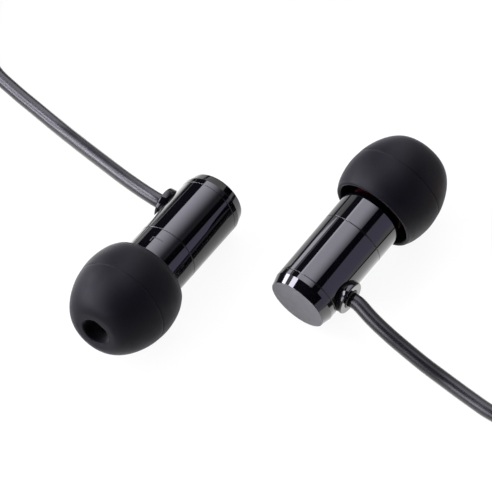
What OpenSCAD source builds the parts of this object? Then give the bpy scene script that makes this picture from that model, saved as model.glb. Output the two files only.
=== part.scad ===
// Wired in-ear earphones: two round-shell earpieces with silicone ear tips, their cord with
// a slider and a Y-split, and a straight 3.5 mm stereo plug. Sizes are in millimetres.
//
// Each earpiece is drawn along +Z from its rear face at z = 0, with the cord leaving
// toward -Y, and is then laid on the ground plane, resting on its cap edge and its tip.

/* [Shell] */
// Outer diameter of the round shell
shell_d = 8; // [7.8:0.1:9]
// Diameter of the flat rear face
rear_face_d = 7.3; // [6:0.1:7.4]
// Length of the rear cap
cap_len = 2; // [1.6:0.1:2.2]
// Length of the chamfer around the rear face
cap_chamfer = 1.25; // [0.6:0.05:1.4]
// Thickness of the cap's end wall
cap_wall = 0.8; // [0.5:0.1:1.2]
// Length of the cap's spigot inside the rear housing
spigot_len = 0.6; // [0.3:0.1:0.7]
// Wall of the cap's spigot
spigot_wall = 0.55; // [0.4:0.05:0.9]
// Length of the rear housing
rear_len = 8.5; // [8.3:0.1:12]
// Wall of the rear housing
rear_wall = 0.75; // [0.7:0.05:0.95]
// Length of the cylindrical part of the front housing
front_len = 3.6; // [3:0.1:5]
// Length of the front chamfer
front_chamfer = 1; // [0.5:0.1:1.5]
// Diameter at the small end of the front chamfer
front_face_d = 6.6; // [6:0.1:7.2]
// Overlap of the two housings at the lap joint
lap_len = 0.9; // [0.5:0.1:1.1]
// Thickness of the front housing's end wall, from the driver seat to the front face
front_wall = 1.8; // [1.4:0.1:2.2]

/* [Nozzle] */
// Diameter of the sound nozzle
nozzle_d = 4.6; // [4.2:0.1:5]
// Length of the nozzle in front of the front face
nozzle_len = 5.5; // [4.8:0.1:5.8]
// Bore of the nozzle
nozzle_bore = 3.2; // [2.6:0.1:3.4]
// Diameter of the barb that holds the ear tip
barb_d = 5.2; // [5.1:0.1:5.6]
// Length of the barb's cylindrical land
barb_land = 0.5; // [0.3:0.1:0.8]
// Length of the slope on each side of the land
barb_slope = 0.5; // [0.3:0.1:0.7]
// Distance from the barb's front slope to the nozzle's end
barb_setback = 0.8; // [0.5:0.1:1.2]
// Diameter of the sound mesh
mesh_d = 3.9; // [3.6:0.1:4.1]
// Thickness of the sound mesh
mesh_t = 0.15; // [0.1:0.05:0.3]
// Depth of the mesh below the nozzle's end
mesh_depth = 0.15; // [0.05:0.05:0.5]
// Diameter of a hole in the mesh
mesh_hole = 0.26; // [0.15:0.01:0.34]
// Spacing of the holes in the mesh
mesh_pitch = 0.45; // [0.4:0.01:0.6]

/* [Ear tip] */
// Widest diameter of the ear tip
tip_d = 12.1; // [10.8:0.1:13.6]
// Length of the ear tip from its rear rim to its front
tip_len = 9.95; // [9.6:0.05:11]
// Distance from the rear rim to the widest place
tip_widest = 3.4; // [2.8:0.05:4]
// Distance from the rear rim to the parting line
tip_parting = 4.95; // [4.3:0.05:5.4]
// How much smaller the radius is at the parting line
tip_parting_drop = 0.13; // [0.05:0.01:0.5]
// How much smaller the radius is at the rear rim
tip_rim_drop = 1.15; // [0.8:0.05:1.3]
// Diameter of the flat front, where the rounding ends
tip_front_d = 4.9; // [4.3:0.1:5.6]
// Diameter of the front opening
tip_opening = 3.5; // [3:0.1:3.9]
// Wall of the skirt
skirt_wall = 0.5; // [0.35:0.05:0.8]
// Length of the skirt over the shell's front chamfer
skirt_lap = 0.55; // [0.2:0.05:0.8]
// How far short of its seat the left tip is pushed on
left_tip_ease = 0.3; // [0:0.05:0.5]
// Outer diameter of the tip's core
core_d = 6.8; // [6.7:0.1:7.2]
// Length of the tip's core
core_len = 7; // [6.6:0.1:7.4]
// Thickness of the core's front wall, in front of the nozzle
core_front = 1.2; // [0.8:0.1:1.4]
// Room between the core's bore and the barb
core_gap = 0.06; // [0.04:0.01:0.1]
// Room between the core and the shell's front face
core_standoff = 0.25; // [0.1:0.05:0.4]

/* [Driver] */
// Diameter of the driver
driver_d = 6.4; // [6.2:0.1:6.8]
// Height of the driver frame
frame_h = 2; // [1.8:0.1:2.3]
// Wall of the driver frame
frame_wall = 0.4; // [0.3:0.05:0.45]
// Thickness of the frame's rear plate
frame_plate = 0.5; // [0.3:0.1:0.7]
// Diameter of a vent in the frame's rear plate
vent_d = 0.3; // [0.2:0.02:0.34]
// Thickness of the front gasket
gasket_t = 0.2; // [0.1:0.05:0.3]
// Thickness of the diaphragm
film_t = 0.1; // [0.08:0.01:0.15]
// Height of the diaphragm's dome
dome_rise = 0.4; // [0.2:0.05:0.6]
// Height of the diaphragm's surround roll
roll_rise = 0.22; // [0.1:0.02:0.4]
// Inner diameter of the voice coil
coil_d = 3.44; // [3.4:0.02:3.5]
// Thickness of the voice coil
coil_t = 0.18; // [0.12:0.02:0.18]
// Length of the voice coil
coil_len = 1.2; // [0.9:0.1:1.4]
// Outer diameter of the yoke
yoke_d = 4.6; // [4.5:0.1:4.8]
// Wall of the yoke
yoke_wall = 0.28; // [0.2:0.02:0.3]
// Thickness of the yoke's base
yoke_base = 0.4; // [0.3:0.1:0.6]
// Diameter of the magnet
magnet_d = 3.1; // [2.6:0.1:3.2]
// Height of the magnet
magnet_h = 0.9; // [0.7:0.1:1.1]
// Diameter of the pole plate
plate_d = 3.24; // [3:0.02:3.26]
// Thickness of the pole plate
plate_h = 0.5; // [0.4:0.1:0.6]
// Drop from the frame's front edge to the pole plate
pole_drop = 0.6; // [0.5:0.1:0.8]
// Diameter of the terminal board
board_d = 4.2; // [3.4:0.1:4.6]
// Thickness of the terminal board
board_t = 0.3; // [0.2:0.1:0.4]
// Diameter of a solder pad
pad_d = 0.8; // [0.6:0.1:1]
// Height of a solder pad
pad_h = 0.15; // [0.1:0.05:0.25]
// Distance between the two solder pads
pad_spacing = 2.4; // [1.6:0.1:2.8]
// Diameter of an inner wire
wire_d = 0.4; // [0.3:0.05:0.5]

/* [Cable gland] */
// Diameter of the gland
gland_d = 4.1; // [3.6:0.1:4.2]
// Distance from the rear cap to the gland's edge
gland_inset = 0.15; // [0.05:0.05:1]
// How far the gland stands out of the shell
gland_out = 0.6; // [0.5:0.1:0.9]
// Rounding of the gland's rim
gland_round = 0.35; // [0.1:0.05:0.5]
// Diameter of the gland's neck in the shell wall
neck_d = 2.7; // [2.5:0.1:2.9]
// Depth of the neck's end inside the shell wall
neck_in = 0.4; // [0.3:0.1:0.6]
// Outer diameter of the rubber bush
bush_d = 2.3; // [2.2:0.1:2.4]
// Length of the rubber bush
bush_len = 0.7; // [0.5:0.1:0.9]
// How far the bush stands out of the gland
bush_out = 0.1; // [0.05:0.05:0.3]

/* [Cord] */
// Diameter of the cord
cord_d = 1.8; // [1.6:0.1:2]
// Spacing of a coil's turns and of its layers
coil_pitch = 2.25; // [2.25:0.05:2.6]
// Outer radius of the left cord's coil, to the cord's centre
left_coil_r = 11; // [10.8:0.1:11.2]
// Outer radius of the right cord's coil, to the cord's centre
right_coil_r = 10.6; // [10.4:0.1:10.8]
// Outer radius of the trunk cord's coil, to the cord's centre
trunk_coil_r = 12.9; // [12.6:0.1:13]
// Spacing of the two cords in the slider and the Y-split
pair_spacing = 2.2; // [2.2:0.1:2.6]

/* [Slider and Y-split] */
// Diameter of the slider
slider_d = 5.2; // [5:0.1:5.6]
// Length of the slider
slider_len = 5; // [4:0.5:5.5]
// Rounding of the slider's edges
slider_round = 0.5; // [0.2:0.1:0.8]
// Room between the slider's bores and the cords
slider_gap = 0.07; // [0.04:0.01:0.1]
// How far the slider moves from the Y-split
slider_travel = 7.5; // [6:0.5:8]
// Diameter of the Y-split
split_d = 5.2; // [5:0.1:5.6]
// Length of the Y-split
split_len = 9.5; // [9:0.5:10]
// Length of the Y-split's taper
split_taper = 5; // [3:0.5:6]
// Diameter of the Y-split's end toward the plug
split_end_d = 2.8; // [2.4:0.1:3.4]

/* [Plug] */
// Diameter of the plug's contacts
contact_d = 3.5; // [3.4:0.05:3.6]
// Length of the plug's contacts
contact_len = 14; // [14:0.5:15]
// Length of the sleeve contact
sleeve_len = 6.8; // [6:0.1:7.2]
// Length of the ring contact
ring_len = 2.4; // [2:0.1:2.8]
// Thickness of the insulating washers
washer_t = 0.7; // [0.5:0.1:0.8]
// Diameter of the tip contact at its waist
waist_d = 2.5; // [2.2:0.1:2.9]
// Diameter of the rod that carries the tip contact
rod_d = 1; // [0.8:0.1:1.1]
// Wall of each insulating tube and of the ring's tube
tube_wall = 0.22; // [0.18:0.02:0.24]
// Diameter of the sleeve's flange at the grip
flange_d = 4.8; // [4.4:0.1:5.2]
// Length of the sleeve's flange
flange_len = 2; // [1.5:0.1:3]
// Diameter of the plug's grip
grip_d = 6.2; // [6:0.1:7.4]
// Length of the plug's grip
grip_len = 15; // [12:0.5:16]
// Rounding of the grip's edges
grip_round = 0.7; // [0.3:0.1:0.7]
// Depth of the grip's grooves
groove_depth = 0.25; // [0.1:0.05:0.4]
// Length of the plug's strain relief
relief_len = 8; // [6:0.5:9]
// Diameter of the strain relief at the grip
relief_d = 3.8; // [3.2:0.1:4.4]
// Diameter of the strain relief at the cord
relief_end_d = 2.6; // [2.4:0.1:3]

/* [Hidden] */
// Room between pieces that are pressed or glued together
fit_gap = 0.02;

// Where each earpiece lies: the point over which its axis passes at the cap's edge,
// and the heading of its axis from the cap to the ear tip
LEFT_SPOT = [-6.06, 6.99];
LEFT_HEADING = 236.9;
RIGHT_SPOT = [4.87, -5.92];
RIGHT_HEADING = 51.9;

shell_r = shell_d / 2;
gland_z = cap_len + gland_inset + gland_d / 2;
rear_r = shell_r - rear_wall;
driver_r = driver_d / 2;
seat_r = driver_r + fit_gap;
lap_r = (shell_r + seat_r) / 2;
cord_r = cord_d / 2;
cord_bore = cord_r + fit_gap;

// Places along an earpiece's axis
rear_end = cap_len + rear_len;
front_end = rear_end + front_len;
face_z = front_end + front_chamfer;
nozzle_end = face_z + nozzle_len;
seat_z = face_z - front_wall;
mesh_top = nozzle_end - mesh_depth;
rim_z = face_z - skirt_lap;
core_z = face_z + core_standoff;
core_end = core_z + core_len;
ledge_z = core_end - core_front;
tip_end = rim_z + tip_len;
widest_z = rim_z + tip_widest;
parting_z = rim_z + tip_parting;
frame_top = seat_z - gasket_t - film_t;
frame_z = frame_top - frame_h;
yoke_top = frame_top - pole_drop;
yoke_z = yoke_top - plate_h - magnet_h - yoke_base;
board_z = yoke_z - board_t;
reach = shell_r + gland_out;
neck_end = rear_r - neck_in;

// The earpiece tilts so that the cap's edge and the ear tip both touch the ground
TILT = asin((tip_d / 2 - shell_r) / (widest_z - cap_chamfer));

// ---------- small helpers ----------

function unit(v) = v / norm(v);
function smooth(u) = let (c = min(1, max(0, u))) c * c * (3 - 2 * c);

// A round rod from point a to point b
module rod(a, b, r) {
    d = b - a;
    translate(a)
        rotate([0, acos(d[2] / norm(d)), atan2(d[1], d[0])])
            cylinder(h = norm(d), r = r, $fn = 24);
}

module revolve(points, faces = 96) {
    rotate_extrude($fn = faces) polygon(points);
}

module tube(z0, z1, inner, outer) {
    revolve([[inner, z0], [outer, z0], [outer, z1], [inner, z1]]);
}

// Points of a quarter round from angle a0 to angle a1
function arc(centre, r, a0, a1, steps = 6) =
    [for (k = [0:steps]) let (a = a0 + (a1 - a0) * k / steps) centre + r * [cos(a), sin(a)]];

// ---------- placing ----------

module place(spot, heading) {
    translate([spot[0], spot[1], shell_r * cos(TILT)])
        rotate([0, 90 - TILT, heading])
            translate([0, 0, -cap_chamfer])
                children();
}

module left() place(LEFT_SPOT, LEFT_HEADING) children();
module right() place(RIGHT_SPOT, RIGHT_HEADING) children();
module on_left_nozzle() left() translate([0, 0, left_tip_ease]) children();

// The point where the cord leaves an earpiece and the level direction in which it leaves
function exit_way(heading) = [sin(heading), -cos(heading), 0];
function exit_point(spot, heading) =
    [spot[0], spot[1], shell_r * cos(TILT)]
    + (gland_z - cap_chamfer)
        * [cos(TILT) * cos(heading), cos(TILT) * sin(heading), sin(TILT)]
    + (reach + bush_out) * exit_way(heading);

// ---------- shell ----------

module rear_cap() {
    spigot_r = rear_r - fit_gap;
    color([0.33, 0.33, 0.34])
        revolve([
            [0, 0],
            [rear_face_d / 2, 0],
            [shell_r, cap_chamfer],
            [shell_r, cap_len],
            [spigot_r, cap_len],
            [spigot_r, cap_len + spigot_len],
            [spigot_r - spigot_wall, cap_len + spigot_len],
            [spigot_r - spigot_wall, cap_wall],
            [0, cap_wall]
        ]);
}

module rear_housing() {
    socket_r = lap_r + fit_gap;
    color([0.06, 0.06, 0.07])
        difference() {
            revolve([
                [rear_r, cap_len],
                [shell_r, cap_len],
                [shell_r, rear_end],
                [socket_r, rear_end],
                [socket_r, rear_end - lap_len],
                [rear_r, rear_end - lap_len]
            ]);
            translate([0, 0, gland_z])
                rotate([90, 0, 0])
                    cylinder(h = shell_r + 1, r = neck_d / 2 + fit_gap, $fn = 48);
        }
}

module front_housing() {
    barb_z1 = nozzle_end - barb_setback;
    barb_z0 = barb_z1 - 2 * barb_slope - barb_land;
    nozzle_r = nozzle_d / 2;
    mesh_seat = mesh_top - mesh_t;
    color([0.06, 0.06, 0.07])
        revolve([
            [seat_r, rear_end - lap_len + fit_gap],
            [lap_r, rear_end - lap_len + fit_gap],
            [lap_r, rear_end],
            [shell_r, rear_end],
            [shell_r, front_end],
            [front_face_d / 2, face_z],
            [nozzle_r, face_z],
            [nozzle_r, barb_z0],
            [barb_d / 2, barb_z0 + barb_slope],
            [barb_d / 2, barb_z1 - barb_slope],
            [nozzle_r, barb_z1],
            [nozzle_r, nozzle_end - 0.2],
            [nozzle_r - 0.15, nozzle_end],
            [mesh_d / 2 + fit_gap, nozzle_end],
            [mesh_d / 2 + fit_gap, mesh_seat],
            [nozzle_bore / 2, mesh_seat],
            [nozzle_bore / 2, seat_z + 1.2],
            [driver_r - frame_wall, seat_z],
            [seat_r, seat_z]
        ]);
}

// Sound mesh across the nozzle: a disc with rings of round holes
module nozzle_mesh() {
    rings = floor((nozzle_bore / 2 - mesh_hole / 2) / mesh_pitch);
    color([0.62, 0.63, 0.65])
        translate([0, 0, mesh_top - mesh_t])
            linear_extrude(mesh_t)
                difference() {
                    circle(d = mesh_d, $fn = 64);
                    circle(d = mesh_hole, $fn = 16);
                    for (n = [1:rings])
                        for (k = [0:6 * n - 1])
                            rotate(60 * k / n)
                                translate([n * mesh_pitch, 0])
                                    circle(d = mesh_hole, $fn = 16);
                }
}

// ---------- cable gland ----------

// Turns a revolved shape so that its axis points out of the shell along -Y
module on_gland() {
    translate([0, 0, gland_z]) rotate([90, 0, 0]) children();
}

// The gland sits on the shell in a saddle, and its neck goes through the wall
module cable_gland() {
    rim = gland_d / 2 - gland_round;
    saddle = sqrt(shell_r * shell_r - gland_d * gland_d / 4) - fit_gap;
    pocket_r = bush_d / 2 + fit_gap;
    pocket_z = reach + bush_out - bush_len;
    color([0.05, 0.05, 0.06])
        difference() {
            on_gland()
                revolve(concat(
                    [
                        [cord_bore, neck_end],
                        [neck_d / 2, neck_end],
                        [neck_d / 2, saddle],
                        [gland_d / 2, saddle]
                    ],
                    arc([rim, reach - gland_round], gland_round, 0, 90),
                    [[pocket_r, reach], [pocket_r, pocket_z], [cord_bore, pocket_z]]
                ));
            // saddle on the shell, around the neck
            difference() {
                cylinder(h = 2 * gland_z + gland_d, r = shell_r, $fn = 96);
                on_gland() cylinder(h = reach, r = neck_d / 2, $fn = 48);
            }
        }
}

module gland_bush() {
    out = reach + bush_out;
    color([0.10, 0.10, 0.11])
        on_gland()
            revolve([
                [cord_bore, out - bush_len],
                [bush_d / 2, out - bush_len],
                [bush_d / 2, out - 0.1],
                [bush_d / 2 - 0.1, out],
                [cord_bore, out]
            ], 48);
}

// The cord's end inside the shell: a straight part through the gland and a tight knot
// that rests against the neck and takes the pull
module cord_knot() {
    knot_z = neck_end - cord_r;
    knot_ring = 1.1 * cord_r;
    meet = acos((cord_r - knot_ring) / cord_r);
    color([0.12, 0.12, 0.13])
        on_gland()
            revolve(concat(
                [[0, knot_z - cord_r]],
                arc([knot_ring, knot_z], cord_r, -90, meet, 12),
                [[cord_r, reach + bush_out], [0, reach + bush_out]]
            ), 48);
}

// Two wires from the knot to the driver's solder pads
module inner_wires() {
    start_y = -neck_end + 1.3 * cord_d;
    color([0.72, 0.45, 0.20])
        for (side = [-1, 1])
            rod([side * wire_d, start_y, gland_z + 0.3],
                [side * pad_spacing / 2, 0, board_z - pad_h], wire_d / 2);
}

// ---------- driver ----------

module driver_gasket() {
    color([0.20, 0.20, 0.20])
        tube(seat_z - gasket_t, seat_z, driver_r - frame_wall, driver_r);
}

// Underside of the diaphragm: a dome inside the voice coil, a flat ring on the coil,
// a half-round surround roll and a flat rim on the frame
function film_height(r) =
    let (
        coil_in = coil_d / 2,
        coil_out = coil_d / 2 + coil_t,
        roll_out = driver_r - frame_wall
    )
    r < coil_in ? dome_rise * cos(90 * r / coil_in)
    : r < coil_out ? 0
    : r < roll_out ? roll_rise * sin(180 * (r - coil_out) / (roll_out - coil_out))
    : 0;

module diaphragm() {
    steps = 32;
    rim_r = driver_r - fit_gap;
    under = [for (k = [0:steps]) let (r = rim_r * k / steps) [r, frame_top + film_height(r)]];
    over = [for (k = [steps:-1:0]) under[k] + [0, film_t]];
    color([0.75, 0.72, 0.60]) revolve(concat(under, over), 48);
}

module voice_coil() {
    color([0.72, 0.40, 0.18])
        tube(frame_top - coil_len, frame_top, coil_d / 2, coil_d / 2 + coil_t);
}

// Frame: a cup with four vents in its rear plate, which carries the yoke
module driver_frame() {
    yoke_bore = yoke_d / 2 + fit_gap;
    vent_ring = (yoke_bore + driver_r - frame_wall) / 2;
    color([0.70, 0.70, 0.72])
        difference() {
            revolve([
                [yoke_bore, frame_z],
                [driver_r, frame_z],
                [driver_r, frame_top],
                [driver_r - frame_wall, frame_top],
                [driver_r - frame_wall, frame_z + frame_plate],
                [yoke_bore, frame_z + frame_plate]
            ]);
            for (k = [0:3])
                rotate(45 + 90 * k)
                    translate([vent_ring, 0, frame_z - 1])
                        cylinder(h = frame_plate + 2, d = vent_d, $fn = 16);
        }
}

module yoke() {
    yoke_r = yoke_d / 2;
    color([0.78, 0.78, 0.80])
        revolve([
            [0, yoke_z],
            [yoke_r, yoke_z],
            [yoke_r, yoke_top],
            [yoke_r - yoke_wall, yoke_top],
            [yoke_r - yoke_wall, yoke_z + yoke_base],
            [0, yoke_z + yoke_base]
        ]);
}

module magnet() {
    color([0.55, 0.56, 0.60])
        translate([0, 0, yoke_z + yoke_base]) cylinder(h = magnet_h, d = magnet_d, $fn = 64);
}

module pole_plate() {
    color([0.82, 0.82, 0.84])
        translate([0, 0, yoke_top - plate_h]) cylinder(h = plate_h, d = plate_d, $fn = 64);
}

module terminal_board() {
    color([0.10, 0.35, 0.18]) {
        translate([0, 0, board_z]) cylinder(h = board_t, d = board_d, $fn = 48);
        for (side = [-1, 1])
            translate([side * pad_spacing / 2, 0, board_z - pad_h])
                cylinder(h = pad_h, d = pad_d, $fn = 24);
    }
}

// ---------- ear tip ----------

// Outer radius of the ear tip at a place along the axis: a lip that rounds out from the rear
// rim, a nearly straight run to the parting line and a dome in front of it
function tip_radius(z) =
    let (
        widest = tip_d / 2,
        rim = widest - tip_rim_drop,
        parting = widest - tip_parting_drop,
        front = tip_front_d / 2
    )
    z < widest_z ?
        rim + (widest - rim) * sqrt(max(0, 1 - pow((widest_z - z) / tip_widest, 1.62)))
    : z < parting_z ?
        widest - (widest - parting) * pow((z - widest_z) / (parting_z - widest_z), 2)
    : front + (parting - front)
        * sqrt(max(0, 1 - pow((z - parting_z) / (tip_end - parting_z), 1.39)));

module ear_tip() {
    core_r = core_d / 2;
    rear_steps = 8;
    dome_steps = 14;
    thick_wall = 1.6 * skirt_wall;
    hollow_end = core_end - 1.8;
    hollow_r = tip_radius(hollow_end) - thick_wall;
    rear = [
        for (k = [0:rear_steps])
            let (z = widest_z - tip_widest * pow(1 - k / rear_steps, 1.6))
            [tip_radius(z), z]
    ];
    flank = [for (k = [1:3]) let (z = widest_z + (parting_z - widest_z) * k / 3) [tip_radius(z), z]];
    dome = [
        for (k = [1:dome_steps])
            let (z = parting_z + (tip_end - parting_z) * sin(90 * k / dome_steps))
            [tip_radius(z), z]
    ];
    front = [
        [tip_opening / 2 + 0.35, tip_end],
        [tip_opening / 2, tip_end - 0.35],
        [tip_opening / 2, core_end],
        [core_r, core_end]
    ];
    // hollow under the skirt: its rounded front end, then back to the rim
    crown = [
        for (k = [0:6])
            let (a = 90 - 15 * k)
            [core_r + (hollow_r - core_r) * cos(a), hollow_end + 0.9 * sin(a)]
    ];
    inside = [
        for (k = [1:6])
            let (
                z = hollow_end + (widest_z - hollow_end) * k / 6,
                wall = thick_wall + (skirt_wall - thick_wall) * k / 6
            )
            [tip_radius(z) - wall, z]
    ];
    inside_rear = [for (k = [rear_steps - 1:-1:1]) rear[k] - [skirt_wall, 0]];
    color([0.09, 0.09, 0.10])
        revolve(concat(rear, flank, dome, front, crown, inside, inside_rear));
}

// Stiffer core inside the ear tip, which grips the nozzle
module tip_core(shade) {
    bore = barb_d / 2 + core_gap;
    color(shade)
        revolve([
            [bore, core_z],
            [core_d / 2, core_z],
            [core_d / 2, core_end],
            [tip_opening / 2, core_end],
            [tip_opening / 2, ledge_z],
            [bore, ledge_z]
        ]);
}

// ---------- cord ----------

// Rings of the swept tube stand upright and square to the route
function along(p, i) =
    unit(p[min(i + 1, len(p) - 1)] - p[max(i - 1, 0)]);
function ring(at, way, r, sides) =
    let (side = unit(cross(way, [0, 0, 1])), up = cross(side, way))
    [for (k = [0:sides - 1]) let (a = 90 + 360 * k / sides) at + r * (cos(a) * side + sin(a) * up)];

module swept_cord(route, sides) {
    n = len(route);
    points = [for (i = [0:n - 1]) each ring(route[i], along(route, i), cord_r, sides)];
    walls = [
        for (i = [0:n - 2])
            for (k = [0:sides - 1])
                let (
                    a = i * sides + k,
                    b = i * sides + (k + 1) % sides,
                    c = b + sides,
                    d = a + sides
                )
                each [[a, b, c], [a, c, d]]
    ];
    last = (n - 1) * sides;
    ends = [
        for (k = [1:sides - 2])
            each [[0, k + 1, k], [last, last + k, last + k + 1]]
    ];
    color([0.17, 0.17, 0.18]) polyhedron(points, concat(walls, ends));
}

// A coil winds clockwise from its start angle. It spirals in and out again, one pass per
// layer, and climbs to the next layer in the half turn around each reversal.
// spec = [centre x, centre y, outer radius, start angle, turns, layers]
COIL_STEPS = 24;
function coil_pass(spec) = spec[4] / spec[5];
function coil_fold(t, pass) = let (u = t - 2 * pass * floor(t / (2 * pass))) min(u, 2 * pass - u);
function coil_point(spec, t) =
    let (
        pass = coil_pass(spec),
        a = spec[3] - 360 * t,
        r = spec[2] - coil_pitch * coil_fold(t, pass),
        climbs = [for (k = [1:spec[5] - 1]) smooth((t - k * pass + 0.25) / 0.5)],
        layer = climbs * [for (k = climbs) 1]
    )
    [spec[0] + r * cos(a), spec[1] + r * sin(a), cord_r + coil_pitch * layer];
function coil_way(spec, t) = let (a = spec[3] - 360 * t) [sin(a), -cos(a), 0];
function coil_start(spec) = coil_point(spec, 0) - cord_d * coil_way(spec, 0);
function coil_finish(spec) = coil_point(spec, spec[4]) + cord_d * coil_way(spec, spec[4]);
function coil_route(spec) = concat(
    [coil_start(spec)],
    [for (i = [0:round(COIL_STEPS * spec[4])]) coil_point(spec, i / COIL_STEPS)],
    [coil_finish(spec)]
);

// Least room between two turns of a coil, measured between the points of its centre line
function least_gap(route) =
    min([
        for (i = [0:len(route) - 1])
            for (j = [i + 10:1:len(route) - 1])
                norm(route[i] - route[j])
    ]) - cord_d;

// Length of a cord that runs through several routes
function total_length(routes) =
    let (steps = [for (p = routes) for (i = [1:len(p) - 1]) norm(p[i] - p[i - 1])])
    steps * [for (s = steps) 1];

LEFT_COIL = [-23.2, 54, left_coil_r, 180, 5.25, 4];
RIGHT_COIL = [1.2, 53.6, right_coil_r, 270, 4.25, 4];
TRUNK_COIL = [27.2, 58.2, trunk_coil_r, 90, 13.25, 4];

// The two cords run side by side through the slider into the Y-split
PAIR_Y = 71.6;
PAIR_Z = slider_d / 2;
SPLIT_X = 7;
SLIDER_REST = 0.5;

// The plug lies in front of the trunk's coil, its contacts pointing along -Y
PLUG_X = 37.6;
PLUG_Y = 13;

// Routes of the free stretches: hand-chosen points between the pieces that they join
LEFT_LEAD_POINTS = [
    [-14.1, 9.1, 4.1],
    [-16.3, 11.3, 3.6],
    [-18.9, 14.2, 2.8],
    [-21.6, 17.3, 1.9],
    [-24.3, 20.4, 1.1],
    [-27.3, 23.5, 0.9],
    [-30.3, 26.5, 0.9],
    [-32.8, 29.4, 0.9],
    [-34.1, 32.8, 0.9],
    [-34.4, 36.9, 0.9],
    [-34.3, 41.2, 0.9],
    [-34.2, 45.6, 0.9]
];
RIGHT_LEAD_POINTS = [
    [12.6, -8.8, 3.9],
    [14.5, -10.6, 3.3],
    [16.5, -12.2, 2.6],
    [18.7, -13.9, 1.9],
    [21.1, -15.6, 1.2],
    [23.8, -17.8, 0.9],
    [26.0, -19.6, 0.9],
    [28.2, -20.75, 0.9],
    [30.7, -20.4, 0.9],
    [32.5, -18.7, 0.9],
    [33.1, -16.2, 0.9],
    [33.1, -11.0, 0.9],
    [33.1, -5.8, 0.9],
    [33.1, -0.6, 0.9],
    [33.1, 4.6, 0.9],
    [33.1, 9.8, 0.9],
    [33.0, 15.0, 0.9],
    [32.9, 20.2, 0.9],
    [32.8, 25.4, 0.9],
    [32.8, 30.6, 0.9],
    [32.8, 35.8, 0.9],
    [32.7, 39.0, 0.9],
    [31.4, 41.6, 0.9],
    [28.9, 42.8, 0.9],
    [24.4, 43.0, 0.9],
    [19.2, 42.9, 0.9],
    [14.0, 42.8, 0.9],
    [8.8, 42.8, 0.9]
];
LEFT_TAIL_POINTS = [
    [-16.0, 65.6, 7.0],
    [-13.2, 67.7, 5.7],
    [-11.2, 70.4, 4.2],
    [-8.6, 72.3, 3.0]
];
RIGHT_TAIL_POINTS = [
    [-9.7, 60.6, 6.9],
    [-10.1, 64.0, 5.4],
    [-9.6, 67.3, 3.8],
    [-8.1, 69.6, 2.9]
];
TRUNK_TAIL_POINTS = [
    [40.0, 50.6, 7.1],
    [39.2, 46.4, 5.8],
    [38.2, 42.2, 4.3]
];
// Places along +X where the pair runs straight: from the slider's far end to the Y-split
pair_start = SPLIT_X - SLIDER_REST - slider_len - slider_travel;
PAIR_X = [for (k = [0:4]) pair_start + (SPLIT_X - pair_start) * k / 4];

// The ends of a stretch run straight out of the piece or coil that they meet
function from_earpiece(spot, heading) =
    let (p = exit_point(spot, heading)) [p, p + cord_r * exit_way(heading)];
function into_coil(coil) =
    let (p = coil_start(coil)) [p - cord_d * coil_way(coil, 0), p];
function out_of_coil(coil) =
    let (p = coil_finish(coil)) [p, p + cord_d * coil_way(coil, coil[4])];
function along_pair(y) = [for (x = PAIR_X) [x, y, PAIR_Z]];

LEFT_LEAD = concat(
    from_earpiece(LEFT_SPOT, LEFT_HEADING), LEFT_LEAD_POINTS, into_coil(LEFT_COIL)
);
RIGHT_LEAD = concat(
    from_earpiece(RIGHT_SPOT, RIGHT_HEADING), RIGHT_LEAD_POINTS, into_coil(RIGHT_COIL)
);
LEFT_TAIL = concat(out_of_coil(LEFT_COIL), LEFT_TAIL_POINTS, along_pair(PAIR_Y + pair_spacing / 2));
RIGHT_TAIL = concat(
    out_of_coil(RIGHT_COIL), RIGHT_TAIL_POINTS, along_pair(PAIR_Y - pair_spacing / 2)
);
split_end = [SPLIT_X + split_len, PAIR_Y, PAIR_Z];
plug_end = [PLUG_X, PLUG_Y + grip_len + relief_len, grip_d / 2];
TRUNK_LEAD = concat([split_end, split_end + [cord_d, 0, 0]], into_coil(TRUNK_COIL));
TRUNK_TAIL = concat(
    out_of_coil(TRUNK_COIL), TRUNK_TAIL_POINTS, [plug_end + [0, cord_d, 0], plug_end]
);

// ---------- slider and Y-split ----------

// Turns a revolved shape so that its axis runs along +X in the middle of the cord pair
module on_pair(x) {
    translate([x, PAIR_Y, PAIR_Z]) rotate([0, 90, 0]) children();
}

module slider() {
    r = slider_d / 2;
    edge = slider_round;
    color([0.09, 0.09, 0.10])
        on_pair(SPLIT_X - SLIDER_REST - slider_len)
            difference() {
                revolve(concat(
                    [[0, 0]],
                    arc([r - edge, edge], edge, -90, 0),
                    arc([r - edge, slider_len - edge], edge, 0, 90),
                    [[0, slider_len]]
                ));
                for (side = [-1, 1])
                    translate([0, side * pair_spacing / 2, -1])
                        cylinder(h = slider_len + 2, r = cord_r + slider_gap, $fn = 48);
            }
}

module y_split() {
    r = split_d / 2;
    edge = 0.5;
    taper_z = split_len - split_taper;
    color([0.09, 0.09, 0.10])
        on_pair(SPLIT_X)
            revolve(concat(
                [[0, 0]],
                arc([r - edge, edge], edge, -90, 0),
                [
                    for (k = [0:8])
                        [
                            split_end_d / 2 + (r - split_end_d / 2) * (1 - smooth(k / 8)),
                            taper_z + (split_taper - 0.2) * k / 8
                        ]
                ],
                [[split_end_d / 2 - 0.2, split_len], [0, split_len]]
            ));
}

// ---------- plug ----------

// Turns a revolved shape so that its axis points along -Y, with z = 0 at the plug's shoulder
module on_plug() {
    translate([PLUG_X, PLUG_Y, grip_d / 2]) rotate([90, 0, 0]) children();
}

contact_r = contact_d / 2;
front_tube = rod_d / 2 + tube_wall;
ring_tube = front_tube + tube_wall;
rear_tube = ring_tube + tube_wall;
ring_z = sleeve_len + washer_t;
tip_z = ring_z + ring_len + washer_t;

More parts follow.
